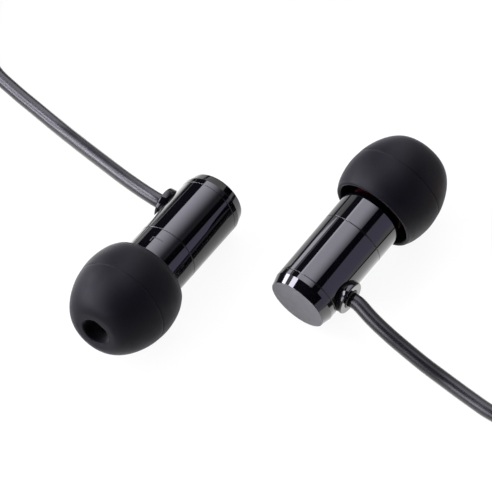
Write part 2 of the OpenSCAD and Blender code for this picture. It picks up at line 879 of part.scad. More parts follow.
module plug_sleeve() {
    color([0.86, 0.72, 0.42])
        on_plug()
            revolve([
                [rear_tube, -flange_len],
                [flange_d / 2, -flange_len],
                [flange_d / 2, 0],
                [contact_r, 0],
                [contact_r, sleeve_len],
                [rear_tube, sleeve_len]
            ]);
}

module plug_rear_insulator() {
    color([0.08, 0.08, 0.08])
        on_plug()
            revolve([
                [ring_tube, -flange_len],
                [rear_tube, -flange_len],
                [rear_tube, sleeve_len],
                [contact_r, sleeve_len],
                [contact_r, ring_z],
                [ring_tube, ring_z]
            ]);
}

module plug_ring() {
    color([0.86, 0.72, 0.42])
        on_plug()
            revolve([
                [front_tube, -flange_len],
                [ring_tube, -flange_len],
                [ring_tube, ring_z],
                [contact_r, ring_z],
                [contact_r, ring_z + ring_len],
                [front_tube, ring_z + ring_len]
            ]);
}

module plug_front_insulator() {
    color([0.08, 0.08, 0.08])
        on_plug()
            revolve([
                [rod_d / 2, -flange_len],
                [front_tube, -flange_len],
                [front_tube, ring_z + ring_len],
                [contact_r, ring_z + ring_len],
                [contact_r, tip_z],
                [rod_d / 2, tip_z]
            ]);
}

module plug_tip() {
    left_over = contact_len - tip_z;
    color([0.86, 0.72, 0.42])
        on_plug()
            revolve(concat(
                [
                    [0, -flange_len],
                    [rod_d / 2, -flange_len],
                    [rod_d / 2, tip_z],
                    [contact_r, tip_z],
                    [contact_r, tip_z + 0.1 * left_over],
                    [waist_d / 2, tip_z + 0.38 * left_over],
                    [contact_r - 0.1, tip_z + 0.66 * left_over]
                ],
                arc([contact_r - 0.8, contact_len - 0.75], 0.7, 20, 75, 4),
                [[0.5, contact_len], [0, contact_len]]
            ));
}

module plug_grip() {
    r = grip_d / 2;
    edge = grip_round;
    grooves = [for (k = [0:3]) -0.3 * grip_len - 1.6 * k];
    color([0.07, 0.07, 0.08])
        on_plug()
            revolve(concat(
                [[0, -grip_len]],
                arc([r - edge, edge - grip_len], edge, -90, 0),
                [
                    for (k = [3:-1:0])
                        each [
                            [r, grooves[k] - 0.5],
                            [r - groove_depth, grooves[k] - 0.25],
                            [r - groove_depth, grooves[k] + 0.25],
                            [r, grooves[k] + 0.5]
                        ]
                ],
                arc([r - edge / 2, -edge / 2], edge / 2, 0, 90),
                [
                    [flange_d / 2 + fit_gap, 0],
                    [flange_d / 2 + fit_gap, -flange_len],
                    [0, -flange_len]
                ]
            ));
}

// Flexible sleeve with ring grooves between the grip and the cord
module plug_strain_relief() {
    steps = 5;
    rib = relief_len / (2 * steps);
    color([0.08, 0.08, 0.09])
        on_plug()
            revolve(concat(
                [[0, -grip_len]],
                [
                    for (k = [0:steps - 1])
                        let (
                            z = -grip_len - 2 * k * rib,
                            r = (relief_d + (relief_end_d - relief_d) * k / (steps - 1)) / 2
                        )
                        each [[r, z], [r, z - rib], [r - 0.2, z - rib], [r - 0.2, z - 2 * rib]]
                ],
                [[0, -grip_len - relief_len]]
            ));
}

// ---------- assembly ----------

CORE_GREY = [0.16, 0.16, 0.17];
CORE_RED = [0.35, 0.04, 0.05];

LEFT_COIL_ROUTE = coil_route(LEFT_COIL);
RIGHT_COIL_ROUTE = coil_route(RIGHT_COIL);
TRUNK_COIL_ROUTE = coil_route(TRUNK_COIL);

echo(left_coil_gap = least_gap(LEFT_COIL_ROUTE));
echo(right_coil_gap = least_gap(RIGHT_COIL_ROUTE));
echo(trunk_coil_gap = least_gap(TRUNK_COIL_ROUTE));
echo(left_cord_length = total_length([LEFT_LEAD, LEFT_COIL_ROUTE, LEFT_TAIL]));
echo(right_cord_length = total_length([RIGHT_LEAD, RIGHT_COIL_ROUTE, RIGHT_TAIL]));
echo(trunk_cord_length = total_length([TRUNK_LEAD, TRUNK_COIL_ROUTE, TRUNK_TAIL]));

left() rear_cap();  // left_rear_cap
left() rear_housing();  // left_rear_housing
left() front_housing();  // left_front_housing
left() nozzle_mesh();  // left_nozzle_mesh
left() cable_gland();  // left_cable_gland
left() gland_bush();  // left_gland_bush
left() cord_knot();  // left_cord_knot
left() inner_wires();  // left_inner_wires
left() driver_gasket();  // left_driver_gasket
left() diaphragm();  // left_diaphragm
left() voice_coil();  // left_voice_coil
left() driver_frame();  // left_driver_frame
left() yoke();  // left_yoke
left() magnet();  // left_magnet
left() pole_plate();  // left_pole_plate
left() terminal_board();  // left_terminal_board
on_left_nozzle() ear_tip();  // left_ear_tip
on_left_nozzle() tip_core(CORE_GREY);  // left_tip_core

right() rear_cap();  // right_rear_cap
right() rear_housing();  // right_rear_housing
right() front_housing();  // right_front_housing
right() nozzle_mesh();  // right_nozzle_mesh
right() cable_gland();  // right_cable_gland
right() gland_bush();  // right_gland_bush
right() cord_knot();  // right_cord_knot
right() inner_wires();  // right_inner_wires
right() driver_gasket();  // right_driver_gasket
right() diaphragm();  // right_diaphragm
right() voice_coil();  // right_voice_coil
right() driver_frame();  // right_driver_frame
right() yoke();  // right_yoke
right() magnet();  // right_magnet
right() pole_plate();  // right_pole_plate
right() terminal_board();  // right_terminal_board
right() ear_tip();  // right_ear_tip
right() tip_core(CORE_RED);  // right_tip_core

swept_cord(LEFT_LEAD, 8);  // left_cord_lead
swept_cord(LEFT_COIL_ROUTE, 6);  // left_cord_coil
swept_cord(LEFT_TAIL, 8);  // left_cord_tail
swept_cord(RIGHT_LEAD, 8);  // right_cord_lead
swept_cord(RIGHT_COIL_ROUTE, 6);  // right_cord_coil
swept_cord(RIGHT_TAIL, 8);  // right_cord_tail
swept_cord(TRUNK_LEAD, 8);  // trunk_cord_lead
swept_cord(TRUNK_COIL_ROUTE, 6);  // trunk_cord_coil
swept_cord(TRUNK_TAIL, 8);  // trunk_cord_tail

slider();
y_split();
plug_grip();
plug_strain_relief();
plug_sleeve();
plug_rear_insulator();
plug_ring();
plug_front_insulator();
plug_tip();
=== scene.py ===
import math

import bmesh
import bpy
from mathutils import Matrix, Vector


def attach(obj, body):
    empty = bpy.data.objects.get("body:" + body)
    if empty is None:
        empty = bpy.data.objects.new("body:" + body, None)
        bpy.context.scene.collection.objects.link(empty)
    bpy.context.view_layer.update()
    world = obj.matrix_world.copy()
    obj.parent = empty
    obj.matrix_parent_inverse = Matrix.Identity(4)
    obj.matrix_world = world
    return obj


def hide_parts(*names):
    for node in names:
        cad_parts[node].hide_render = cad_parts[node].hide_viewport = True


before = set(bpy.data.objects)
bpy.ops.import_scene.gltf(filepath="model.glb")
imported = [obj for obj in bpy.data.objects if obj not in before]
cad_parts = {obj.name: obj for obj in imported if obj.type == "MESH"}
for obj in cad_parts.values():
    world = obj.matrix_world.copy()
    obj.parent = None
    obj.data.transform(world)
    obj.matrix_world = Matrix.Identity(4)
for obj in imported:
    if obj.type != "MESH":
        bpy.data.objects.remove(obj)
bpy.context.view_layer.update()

MM = 0.001

# ---------- sizes of the CAD model, in millimetres ----------

SHELL_R = 4.0
CAP_CHAMFER = 1.25
CAP_LEN = 2.0
REAR_END = 10.5
FRONT_END = 14.1
FACE_Z = 15.1
NOZZLE_END = 20.6
REAR_R = 3.25
SEAT_R = 3.22
LAP_R = 3.61
SEAT_Z = 13.3
DRIVER_BORE_R = 2.8
GLAND_Z = 4.2
GLAND_R = 2.05
GLAND_REACH = 4.6
BUSH_R = 1.15
BUSH_OUT = 0.1
BUSH_LEN = 0.7
NECK_R = 1.35
NECK_END = 2.85
CORD_R = 0.9
CORD_BORE = 0.92
FIT_GAP = 0.02
SEAM = 0.04
SEAM_ROUND = 0.045
LAP_LEN = 0.9

TIP_R = 6.05
RIM_Z = 14.55
WIDEST_Z = 17.95
PARTING_Z = 19.5
TIP_END = 24.5
TIP_OPENING_R = 1.75
CORE_Z = 15.35
CORE_END = 22.35
CORE_R = 3.4
CORE_BORE_R = 2.66
LEDGE_Z = 21.15
SKIRT_WALL = 0.5
TIP_EASE = {"left": 0.3, "right": 0.0}

TILT = math.asin((TIP_R - SHELL_R) / (WIDEST_Z - CAP_CHAMFER))
LEFT_SPOT, LEFT_HEADING = (-6.06, 6.99), 236.9
RIGHT_SPOT, RIGHT_HEADING = (4.87, -5.92), 51.9


def placing(spot, heading):
    """The matrix that lays an earpiece, drawn along +Z in millimetres, in the frame."""
    return (
        Matrix.Scale(MM, 4)
        @ Matrix.Translation((spot[0], spot[1], SHELL_R * math.cos(TILT)))
        @ Matrix.Rotation(math.radians(heading), 4, "Z")
        @ Matrix.Rotation(math.pi / 2 - TILT, 4, "Y")
        @ Matrix.Translation((0, 0, -CAP_CHAMFER))
    )


SIDES = {
    "left": placing(LEFT_SPOT, LEFT_HEADING),
    "right": placing(RIGHT_SPOT, RIGHT_HEADING),
}

# ---------- camera ----------

TARGET = Vector((-1.78, 3.90, 0.0)) * MM
CAMERA = Vector((-1.78, -176.55, 263.5)) * MM
camera_data = bpy.data.cameras.new("camera")
camera_data.sensor_width = 36
camera_data.lens = 197.2
camera_data.clip_start = 0.01
camera_data.clip_end = 50
camera = bpy.data.objects.new("camera", camera_data)
camera.location = CAMERA
camera.rotation_mode = "QUATERNION"
camera.rotation_quaternion = (TARGET - CAMERA).to_track_quat("-Z", "Y")
bpy.context.scene.collection.objects.link(camera)
bpy.context.scene.camera = camera

# ---------- materials ----------


def srgb(value):
    """The linear share of a screen value of 0 to 255."""
    value = value / 255
    return value / 12.92 if value <= 0.04045 else ((value + 0.055) / 1.055) ** 2.4


def colour(red, green, blue):
    return (srgb(red), srgb(green), srgb(blue), 1)


# the colour sockets of a mix node, which share their names with its other sockets
MIX_FIRST, MIX_SECOND, MIX_RESULT = 6, 7, 2


class Nodes:
    """A material's node tree with short calls to add and link nodes."""

    def __init__(self, name):
        self.material = bpy.data.materials.new(name)
        self.material.use_nodes = True
        self.tree = self.material.node_tree
        self.shader = self.tree.nodes["Principled BSDF"]

    def feed(self, socket, value):
        """Links a socket to the output that it takes, or sets its value."""
        if isinstance(value, bpy.types.NodeSocket):
            self.tree.links.new(value, socket)
        else:
            socket.default_value = value

    def add(self, kind, **inputs):
        node = self.tree.nodes.new(kind)
        for key, value in inputs.items():
            self.feed(node.inputs[key.replace("_", " ")], value)
        return node

    def place(self):
        return self.add("ShaderNodeTexCoord").outputs["Object"]

    def noise(self, size, detail, rough=0.5):
        """Noise whose lumps are about size millimetres across."""
        node = self.add(
            "ShaderNodeTexNoise", Vector=self.place(), Scale=1 / (size * MM),
            Detail=detail, Roughness=rough,
        )
        return node.outputs["Fac"]

    def span(self, value, low, high, to_low, to_high):
        """A value's place from low to high, taken over to a place from to_low to to_high."""
        node = self.add(
            "ShaderNodeMapRange", Value=value, From_Min=low, From_Max=high,
            To_Min=to_low, To_Max=to_high,
        )
        return node.outputs["Result"]

    def blend(self, factor, first, second):
        node = self.tree.nodes.new("ShaderNodeMix")
        node.data_type = "RGBA"
        self.feed(node.inputs["Factor"], factor)
        self.feed(node.inputs[MIX_FIRST], first)
        self.feed(node.inputs[MIX_SECOND], second)
        return node.outputs[MIX_RESULT]

    def bump(self, height, depth, normal=None):
        """Bump of a depth in millimetres from a height of 0 to 1."""
        inputs = {"Height": height, "Distance": depth * MM, "Strength": 1.0}
        if normal is not None:
            inputs["Normal"] = normal
        return self.add("ShaderNodeBump", **inputs).outputs["Normal"]


IOR = 1.5
SHEEN_ROUGHNESS = 0.38
DUST_SIZE, DUST_FROM, DUST_TO, DUST_COLOUR = 0.09, 0.735, 0.79, colour(150, 148, 146)
SMUDGE_SHARE, SMUDGE_FROM, SMUDGE_TO = 0.35, 0.3, 0.7


def finish(name, base, rough, lumps, vary, rough_vary, grain=None, wave=None, dust=0.0,
           metallic=0.0, sheen=0.0, specular=0.5):
    """A procedural finish: a base colour that varies over lumps, roughness that varies with
    finer smudges, and, where asked for, grain and a slow wave (size, depth), dust specks and
    sheen. Sizes are in millimetres."""
    n = Nodes(name)
    inputs = n.shader.inputs
    inputs["Metallic"].default_value = metallic
    inputs["IOR"].default_value = IOR
    inputs["Specular IOR Level"].default_value = specular
    if sheen:
        inputs["Sheen Weight"].default_value = sheen
        inputs["Sheen Roughness"].default_value = SHEEN_ROUGHNESS
    low = tuple(c * (1 - vary) for c in base[:3]) + (1,)
    high = tuple(c * (1 + vary) for c in base[:3]) + (1,)
    tone = n.blend(n.noise(lumps, 3.0), low, high)
    if dust:
        speck = n.span(n.noise(DUST_SIZE, 1.0), DUST_FROM, DUST_TO, 0.0, dust)
        tone = n.blend(speck, tone, DUST_COLOUR)
    n.feed(inputs["Base Color"], tone)
    smudge = n.noise(lumps * SMUDGE_SHARE, 4.0, 0.6)
    n.feed(inputs["Roughness"],
           n.span(smudge, SMUDGE_FROM, SMUDGE_TO, rough - rough_vary, rough + rough_vary))
    normal = None
    if wave:
        normal = n.bump(n.noise(wave[0], 1.0), wave[1])
    if grain:
        normal = n.bump(n.noise(grain[0], 2.0, 0.6), grain[1], normal)
    if normal is not None:
        n.feed(inputs["Normal"], normal)
    return n.material


FINISHES = {
    "cap_grey": dict(base=colour(70, 70, 71), rough=0.55, lumps=3.0, vary=0.05,
                     rough_vary=0.05, grain=(0.08, 0.006)),
    "shell_black": dict(base=colour(5, 5, 7), rough=0.035, lumps=5.0, vary=0.3,
                        rough_vary=0.01, wave=(3.0, 0.0008)),
    "gland_black": dict(base=colour(6, 6, 8), rough=0.07, lumps=2.0, vary=0.2,
                        rough_vary=0.02, specular=0.3),
    "bush_rubber": dict(base=colour(18, 18, 20), rough=0.5, lumps=1.0, vary=0.2,
                        rough_vary=0.06, grain=(0.05, 0.004), specular=0.3),
    "cord_jacket": dict(base=colour(14, 14, 16), rough=0.31, lumps=6.0, vary=0.12,
                        rough_vary=0.04, grain=(0.1, 0.0015), specular=0.32),
    "wire_copper": dict(base=colour(205, 120, 76), rough=0.3, lumps=0.6, vary=0.2,
                        rough_vary=0.08, metallic=1),
    "gasket_foam": dict(base=colour(58, 58, 60), rough=0.9, lumps=1.0, vary=0.3,
                        rough_vary=0.05, grain=(0.06, 0.02)),
    "diaphragm_film": dict(base=colour(205, 190, 150), rough=0.25, lumps=1.5, vary=0.1,
                           rough_vary=0.05),
    "voice_coil_copper": dict(base=colour(200, 112, 66), rough=0.3, lumps=0.5, vary=0.2,
                              rough_vary=0.08, grain=(0.05, 0.01), metallic=1),
    "driver_frame_plastic": dict(base=colour(168, 168, 172), rough=0.4, lumps=2.0, vary=0.1,
                                 rough_vary=0.06, grain=(0.1, 0.004)),
    "driver_steel": dict(base=colour(186, 186, 190), rough=0.28, lumps=1.5, vary=0.1,
                         rough_vary=0.08, grain=(0.07, 0.002), metallic=1),
    "magnet_nickel": dict(base=colour(200, 196, 186), rough=0.18, lumps=1.5, vary=0.1,
                          rough_vary=0.06, metallic=1),
    "board_green": dict(base=colour(24, 84, 46), rough=0.35, lumps=1.0, vary=0.2,
                        rough_vary=0.06, grain=(0.06, 0.004)),
    "mesh_steel": dict(base=colour(150, 150, 152), rough=0.35, lumps=1.0, vary=0.15,
                       rough_vary=0.1, metallic=1),
    "tip_silicone": dict(base=colour(5, 4, 8), rough=0.5, lumps=4.0, vary=0.2,
                         rough_vary=0.04, grain=(0.07, 0.004), dust=0.03, sheen=0.085,
                         specular=0.08),
    "core_silicone_grey": dict(base=colour(44, 44, 46), rough=0.5, lumps=2.0, vary=0.15,
                               rough_vary=0.05, grain=(0.07, 0.004)),
    # the right core is red silicone, but its colour is darkened well below its real red: painted
    # shade, standing in for the shade it sits in inside the tip's mouth
    "core_silicone_red": dict(base=colour(20, 1, 3), rough=0.5, lumps=2.0, vary=0.15,
                              rough_vary=0.05, grain=(0.07, 0.004), specular=0.02),
    "moulded_black": dict(base=colour(22, 22, 24), rough=0.42, lumps=3.0, vary=0.2,
                          rough_vary=0.06, grain=(0.09, 0.006)),
    "contact_gold": dict(base=colour(232, 188, 112), rough=0.16, lumps=2.0, vary=0.06,
                         rough_vary=0.05, metallic=1),
    "mark_grey": dict(base=colour(34, 34, 36), rough=0.6, lumps=1.0, vary=0.2,
                      rough_vary=0.05),
    "insulator_black": dict(base=colour(16, 16, 17), rough=0.35, lumps=1.0, vary=0.2,
                            rough_vary=0.05),
}
MATERIALS = {name: finish(name, **settings) for name, settings in FINISHES.items()}

# ---------- mesh helpers ----------


def make_object(name, mesh):
    obj = bpy.data.objects.new(name, mesh)
    bpy.context.scene.collection.objects.link(obj)
    return obj


def turned(vector, angle):
    """A flat vector turned by an angle in radians."""
    c, s = math.cos(angle), math.sin(angle)
    return Vector((c * vector.x - s * vector.y, s * vector.x + c * vector.y))


GUARD = 0.03
EDGE_SHARE = 0.48


def rounded(points, closed, steps=4):
    """A profile with rounded corners. A point is (r, z), or (r, z, radius) to be rounded, with
    a guard point on either side of the arc, which keeps the shading of the flats flat. An arc
    takes EDGE_SHARE of an edge at most."""
    out = []
    for i, p in enumerate(points):
        here = Vector(p[:2])
        if len(p) == 2 or (not closed and i in (0, len(points) - 1)):
            out.append(here)
            continue
        back = Vector(points[i - 1][:2]) - here
        ahead = Vector(points[(i + 1) % len(points)][:2]) - here
        half = back.angle(ahead) / 2
        room_back, room_ahead = EDGE_SHARE * back.length, EDGE_SHARE * ahead.length
        reach = min(p[2] / math.tan(half), room_back, room_ahead)
        middle = (back.normalized() + ahead.normalized()).normalized()
        centre = here + middle * (reach / math.cos(half))
        first = here + back.normalized() * reach - centre
        last = here + ahead.normalized() * reach - centre
        sweep = math.atan2(first.x * last.y - first.y * last.x, first.dot(last))
        arc = [centre + turned(first, sweep * k / steps) for k in range(steps + 1)]
        if reach + 2 * GUARD < room_back:
            out.append(here + back.normalized() * (reach + GUARD))
        out += arc
        if reach + 2 * GUARD < room_ahead:
            out.append(here + ahead.normalized() * (reach + GUARD))
    return out


AXIS_R = 1e-6


def lathe(name, profile, matrix, finishes, sides, closed=True, pick=None, shape=None):
    """A revolved piece around the local Z axis, where a point nearer to it than AXIS_R is one
    vertex. finishes are the names of its materials, pick(r, z) says which of them a face
    takes, and shape(point) may move a point."""
    bm = bmesh.new()
    rings = []
    for r, z in profile:
        if r < AXIS_R:
            rings.append([bm.verts.new((0, 0, z))])
            continue
        ring = []
        for k in range(sides):
            a = 2 * math.pi * k / sides
            ring.append(bm.verts.new((r * math.cos(a), r * math.sin(a), z)))
        rings.append(ring)
    pairs = list(zip(rings, rings[1:]))
    if closed:
        pairs.append((rings[-1], rings[0]))
    for one, two in pairs:
        for k in range(sides):
            j = (k + 1) % sides
            corners = [one[k % len(one)], one[j % len(one)], two[j % len(two)], two[k % len(two)]]
            unique = list(dict.fromkeys(corners))
            if len(unique) > 2:
                bm.faces.new(unique)
    if pick:
        for face in bm.faces:
            c = face.calc_center_median()
            face.material_index = pick(math.hypot(c.x, c.y), c.z)
    if shape:
        for v in bm.verts:
            v.co = shape(v.co.copy())
    bmesh.ops.recalc_face_normals(bm, faces=bm.faces)
    bm.transform(matrix)
    return piece_of(name, bm, finishes)


def piece_of(name, bm, finishes):
    """An object from a bmesh, smooth and with weighted normals."""
    mesh = bpy.data.meshes.new(name)
    bm.to_mesh(mesh)
    bm.free()
    for f in finishes:
        mesh.materials.append(MATERIALS[f])
    mesh.shade_smooth()
    obj = make_object(name, mesh)
    weigh_normals(obj)
    return obj


def weigh_normals(obj):
    obj.modifiers.new("normals", "WEIGHTED_NORMAL").keep_sharp = True


SHARP_DEGREES = 32


def cutter(radius, start, end, matrix, finish_name):
    """A plain rod along the local Z axis, to cut out of a piece."""
    corners = ((0, start), (radius, start), (radius, end), (0, end))
    return lathe("cutter", [Vector(p) for p in corners], matrix, [finish_name], sides=48,
                 closed=False)


def cut_out(obj, cutters):
    """Cuts the cutters out of obj, and removes them."""
    obj.modifiers.clear()
    for cutter_obj in cutters:
        cutter_obj.modifiers.clear()
        cut = obj.modifiers.new("cut", "BOOLEAN")
        cut.operation, cut.solver, cut.object = "DIFFERENCE", "EXACT", cutter_obj
    bpy.context.view_layer.update()
    depsgraph = bpy.context.evaluated_depsgraph_get()
    mesh = bpy.data.meshes.new_from_object(obj.evaluated_get(depsgraph))
    obj.modifiers.clear()
    obj.data = mesh
    mesh.shade_smooth()
    mesh.set_sharp_from_angle(angle=math.radians(SHARP_DEGREES))
    weigh_normals(obj)
    for cutter_obj in cutters:
        bpy.data.objects.remove(cutter_obj)


def stands_for(obj, body, slot, *nodes):
    """Hides the CAD nodes that a piece replaces and puts it on the body that it rides on. slot is
    not used.
    """
    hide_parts(*nodes)
    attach(obj, body)
    return obj


# ---------- cords ----------

COIL_PITCH = 2.25
COIL_STEPS = 24
LAYER_RISE = 0.5
CORD_D = 1.8


def coil_fold(t, length):
    """How many turns in from the outside the cord is, when it turns back after length."""
    u = t - 2 * length * math.floor(t / (2 * length))
    return min(u, 2 * length - u)


def smooth(u):
    """A soft step from 0 to 1 as u goes from 0 to 1."""
    c = min(1, max(0, u))
    return c * c * (3 - 2 * c)


def coil_point(coil, t):
    """A point of a coil (x, y, outer radius, start angle, turns, layers) after t turns."""
    x, y, outer, start, turns, layers = coil
    length = turns / layers
    a = math.radians(start - 360 * t)
    r = outer - COIL_PITCH * coil_fold(t, length)
    layer = sum(
        smooth((t - k * length + LAYER_RISE / 2) / LAYER_RISE) for k in range(1, layers)
    )
    return Vector((x + r * math.cos(a), y + r * math.sin(a), CORD_R + COIL_PITCH * layer))


def level_way(degrees):
    """A level direction, square to the one at that many degrees and clockwise of it."""
    a = math.radians(degrees)
    return Vector((math.sin(a), -math.cos(a), 0))


def coil_route(coil):
    """The points of a coil, with two at a cord's diameter apart on its way in and out."""
    start, turns = coil[3], coil[4]
    way_in = CORD_D * level_way(start)
    way_out = CORD_D * level_way(start - 360 * turns)
    middle = [coil_point(coil, i / COIL_STEPS) for i in range(round(COIL_STEPS * turns) + 1)]
    first, last = coil_point(coil, 0) - way_in, coil_point(coil, turns) + way_out
    return [first - way_in, first] + middle + [last, last + way_out]


def exit_point(spot, heading):
    """Where a branch cord leaves its gland's bush."""
    h = math.radians(heading)
    axis = Vector((math.cos(TILT) * math.cos(h), math.cos(TILT) * math.sin(h), math.sin(TILT)))
    centre = Vector((spot[0], spot[1], SHELL_R * math.cos(TILT)))
    return centre + (GLAND_Z - CAP_CHAMFER) * axis + (GLAND_REACH + BUSH_OUT) * level_way(heading)


# each coil: x, y, outer radius, start angle in degrees, turns, layers
LEFT_COIL = (-23.2, 54.0, 11.0, 180, 5.25, 4)
RIGHT_COIL = (1.2, 53.6, 10.6, 270, 4.25, 4)
TRUNK_COIL = (27.2, 58.2, 12.9, 90, 13.25, 4)
PAIR_Y, PAIR_Z, PAIR_SPACING = 71.6, 2.6, 2.2
SPLIT_X, SPLIT_LEN = 7.0, 9.5
SLIDER_X, SLIDER_LEN = 1.5, 5.0
PAIR_START, PAIR_STEPS = -6.0, 4
PLUG_X, PLUG_Y, PLUG_Z = 37.6, 13.0, 3.1
GRIP_LEN, RELIEF_LEN = 15.0, 8.0

LEFT_LEAD_POINTS = [
    (-14.1, 9.1, 4.1), (-16.3, 11.3, 3.6), (-18.9, 14.2, 2.8), (-21.6, 17.3, 1.9),
    (-24.3, 20.4, 1.1), (-27.3, 23.5, 0.9), (-30.3, 26.5, 0.9), (-32.8, 29.4, 0.9),
    (-34.1, 32.8, 0.9), (-34.4, 36.9, 0.9), (-34.3, 41.2, 0.9), (-34.2, 45.6, 0.9),
]
RIGHT_LEAD_POINTS = [
    (12.6, -8.8, 3.9), (14.5, -10.6, 3.3), (16.5, -12.2, 2.6), (18.7, -13.9, 1.9),
    (21.1, -15.6, 1.2), (23.8, -17.8, 0.9), (26.0, -19.6, 0.9), (28.2, -20.75, 0.9),
    (30.7, -20.4, 0.9), (32.5, -18.7, 0.9), (33.1, -16.2, 0.9), (33.1, -11.0, 0.9),
    (33.1, -5.8, 0.9), (33.1, -0.6, 0.9), (33.1, 4.6, 0.9), (33.1, 9.8, 0.9),
    (33.0, 15.0, 0.9), (32.9, 20.2, 0.9), (32.8, 25.4, 0.9), (32.8, 30.6, 0.9),
    (32.8, 35.8, 0.9), (32.7, 39.0, 0.9), (31.4, 41.6, 0.9), (28.9, 42.8, 0.9),
    (24.4, 43.0, 0.9), (19.2, 42.9, 0.9), (14.0, 42.8, 0.9), (8.8, 42.8, 0.9),
]
LEFT_TAIL_POINTS = [
    (-16.0, 65.6, 7.0), (-13.2, 67.7, 5.7), (-11.2, 70.4, 4.2), (-8.6, 72.3, 3.0),
]
RIGHT_TAIL_POINTS = [
    (-9.7, 60.6, 6.9), (-10.1, 64.0, 5.4), (-9.6, 67.3, 3.8), (-8.1, 69.6, 2.9),
]
TRUNK_TAIL_POINTS = [(40.0, 50.6, 7.1), (39.2, 46.4, 5.8), (38.2, 42.2, 4.3)]


def along_pair(y):
    """The straight stretch of a branch cord, through the slider to the Y-split."""
    return [
        Vector((PAIR_START + (SPLIT_X - PAIR_START) * k / PAIR_STEPS, y, PAIR_Z))
        for k in range(PAIR_STEPS + 1)
    ]


def branch_route(spot, heading, lead, coil, tail, y):
    """From the gland through the lead, the coil and the tail to the cord pair at y."""
    start = exit_point(spot, heading)
    return (
        [start, start + CORD_R * level_way(heading)] + [Vector(p) for p in lead]
        + coil_route(coil) + [Vector(p) for p in tail] + along_pair(y)
    )


def trunk_route():
    """From the Y-split through the coil to the plug's strain relief."""
    start = Vector((SPLIT_X + SPLIT_LEN, PAIR_Y, PAIR_Z))
    end = Vector((PLUG_X, PLUG_Y + GRIP_LEN + RELIEF_LEN, PLUG_Z))
    return (
        [start, start + Vector((CORD_D, 0, 0))] + coil_route(TRUNK_COIL)
        + [Vector(p) for p in TRUNK_TAIL_POINTS] + [end + Vector((0, CORD_D, 0)), end]
    )


ROUTE_STEP = 0.7
LEAST_KNOT = 1e-6


def smooth_route(points):
    """Catmull-Rom points between the route's own, about ROUTE_STEP apart at most."""
    out = []
    for i in range(len(points) - 1):
        p0 = points[max(i - 1, 0)]
        p1, p2 = points[i], points[i + 1]
        p3 = points[min(i + 2, len(points) - 1)]
        count = max(2, math.ceil((p2 - p1).length / ROUTE_STEP))
        knots = [0.0]
        for a, b in ((p0, p1), (p1, p2), (p2, p3)):
            knots.append(knots[-1] + max(math.sqrt((b - a).length), LEAST_KNOT))
        t0, t1, t2, t3 = knots
        for k in range(count):
            t = t1 + (t2 - t1) * k / count
            a1 = p1 if i == 0 else p0.lerp(p1, (t - t0) / (t1 - t0))
            a2 = p1.lerp(p2, (t - t1) / (t2 - t1))
            a3 = p2 if i == len(points) - 2 else p2.lerp(p3, (t - t2) / (t3 - t2))
            b1 = a2 if i == 0 else a1.lerp(a2, (t - t0) / (t2 - t0))
            b2 = a2 if i == len(points) - 2 else a2.lerp(a3, (t - t1) / (t3 - t1))
            out.append(b1.lerp(b2, (t - t1) / (t2 - t1)))
    out.append(points[-1])
    return out


CORD_SIDES = 18


def tube(name, route, radius, sides, finish_name):
    """A tube along a route, with closed ends and no twist."""
    bm = bmesh.new()
    uv = bm.loops.layers.uv.new("UVMap")
    count = len(route)
    ways = [
        (route[min(i + 1, count - 1)] - route[max(i - 1, 0)]).normalized() for i in range(count)
    ]
    side = ways[0].cross(Vector((0, 0, 1))).normalized()
    rings, run = [], [0.0]
    for i, (p, way) in enumerate(zip(route, ways)):
        side = (side - way * side.dot(way)).normalized()
        up = side.cross(way)
        if i:
            run.append(run[-1] + (p - route[i - 1]).length)
        rings.append([
            bm.verts.new(p + radius * (math.cos(2 * math.pi * k / sides) * side
                                       + math.sin(2 * math.pi * k / sides) * up))
            for k in range(sides)
        ])
    for i, (one, two) in enumerate(zip(rings, rings[1:])):
        for k in range(sides):
            j = (k + 1) % sides
            face = bm.faces.new((one[k], one[j], two[j], two[k]))
            for loop, (u, v) in zip(face.loops, ((k, i), (k + 1, i), (k + 1, i + 1), (k, i + 1))):
                loop[uv].uv = (u / sides, run[v])
    bm.faces.new(rings[0])
    bm.faces.new(rings[-1])
    bmesh.ops.recalc_face_normals(bm, faces=bm.faces)
    bm.transform(Matrix.Scale(MM, 4))
    return piece_of(name, bm, [finish_name])


ROUTES = {
    "left_cord": branch_route(LEFT_SPOT, LEFT_HEADING, LEFT_LEAD_POINTS, LEFT_COIL,
                              LEFT_TAIL_POINTS, PAIR_Y + PAIR_SPACING / 2),
    "right_cord": branch_route(RIGHT_SPOT, RIGHT_HEADING, RIGHT_LEAD_POINTS, RIGHT_COIL,
                               RIGHT_TAIL_POINTS, PAIR_Y - PAIR_SPACING / 2),
    "trunk_cord": trunk_route(),
}
PATHS = {}
for cord_name, cord_points in ROUTES.items():
    PATHS[cord_name] = smooth_route(cord_points)
    stands_for(
        tube(cord_name, PATHS[cord_name], CORD_R, CORD_SIDES, "cord_jacket"),
        "earphones", "cord_jacket", cord_name + "_lead", cord_name + "_coil",
        cord_name + "_tail",
    )

# ---------- shell ----------

SHELL_SIDES = 192


def gland_axis(matrix):
    """The matrix that turns a shape drawn along +Z into the gland's way out of the shell."""
    return (matrix @ Matrix.Translation((0, 0, GLAND_Z))
            @ Matrix.Rotation(math.pi / 2, 4, "X"))


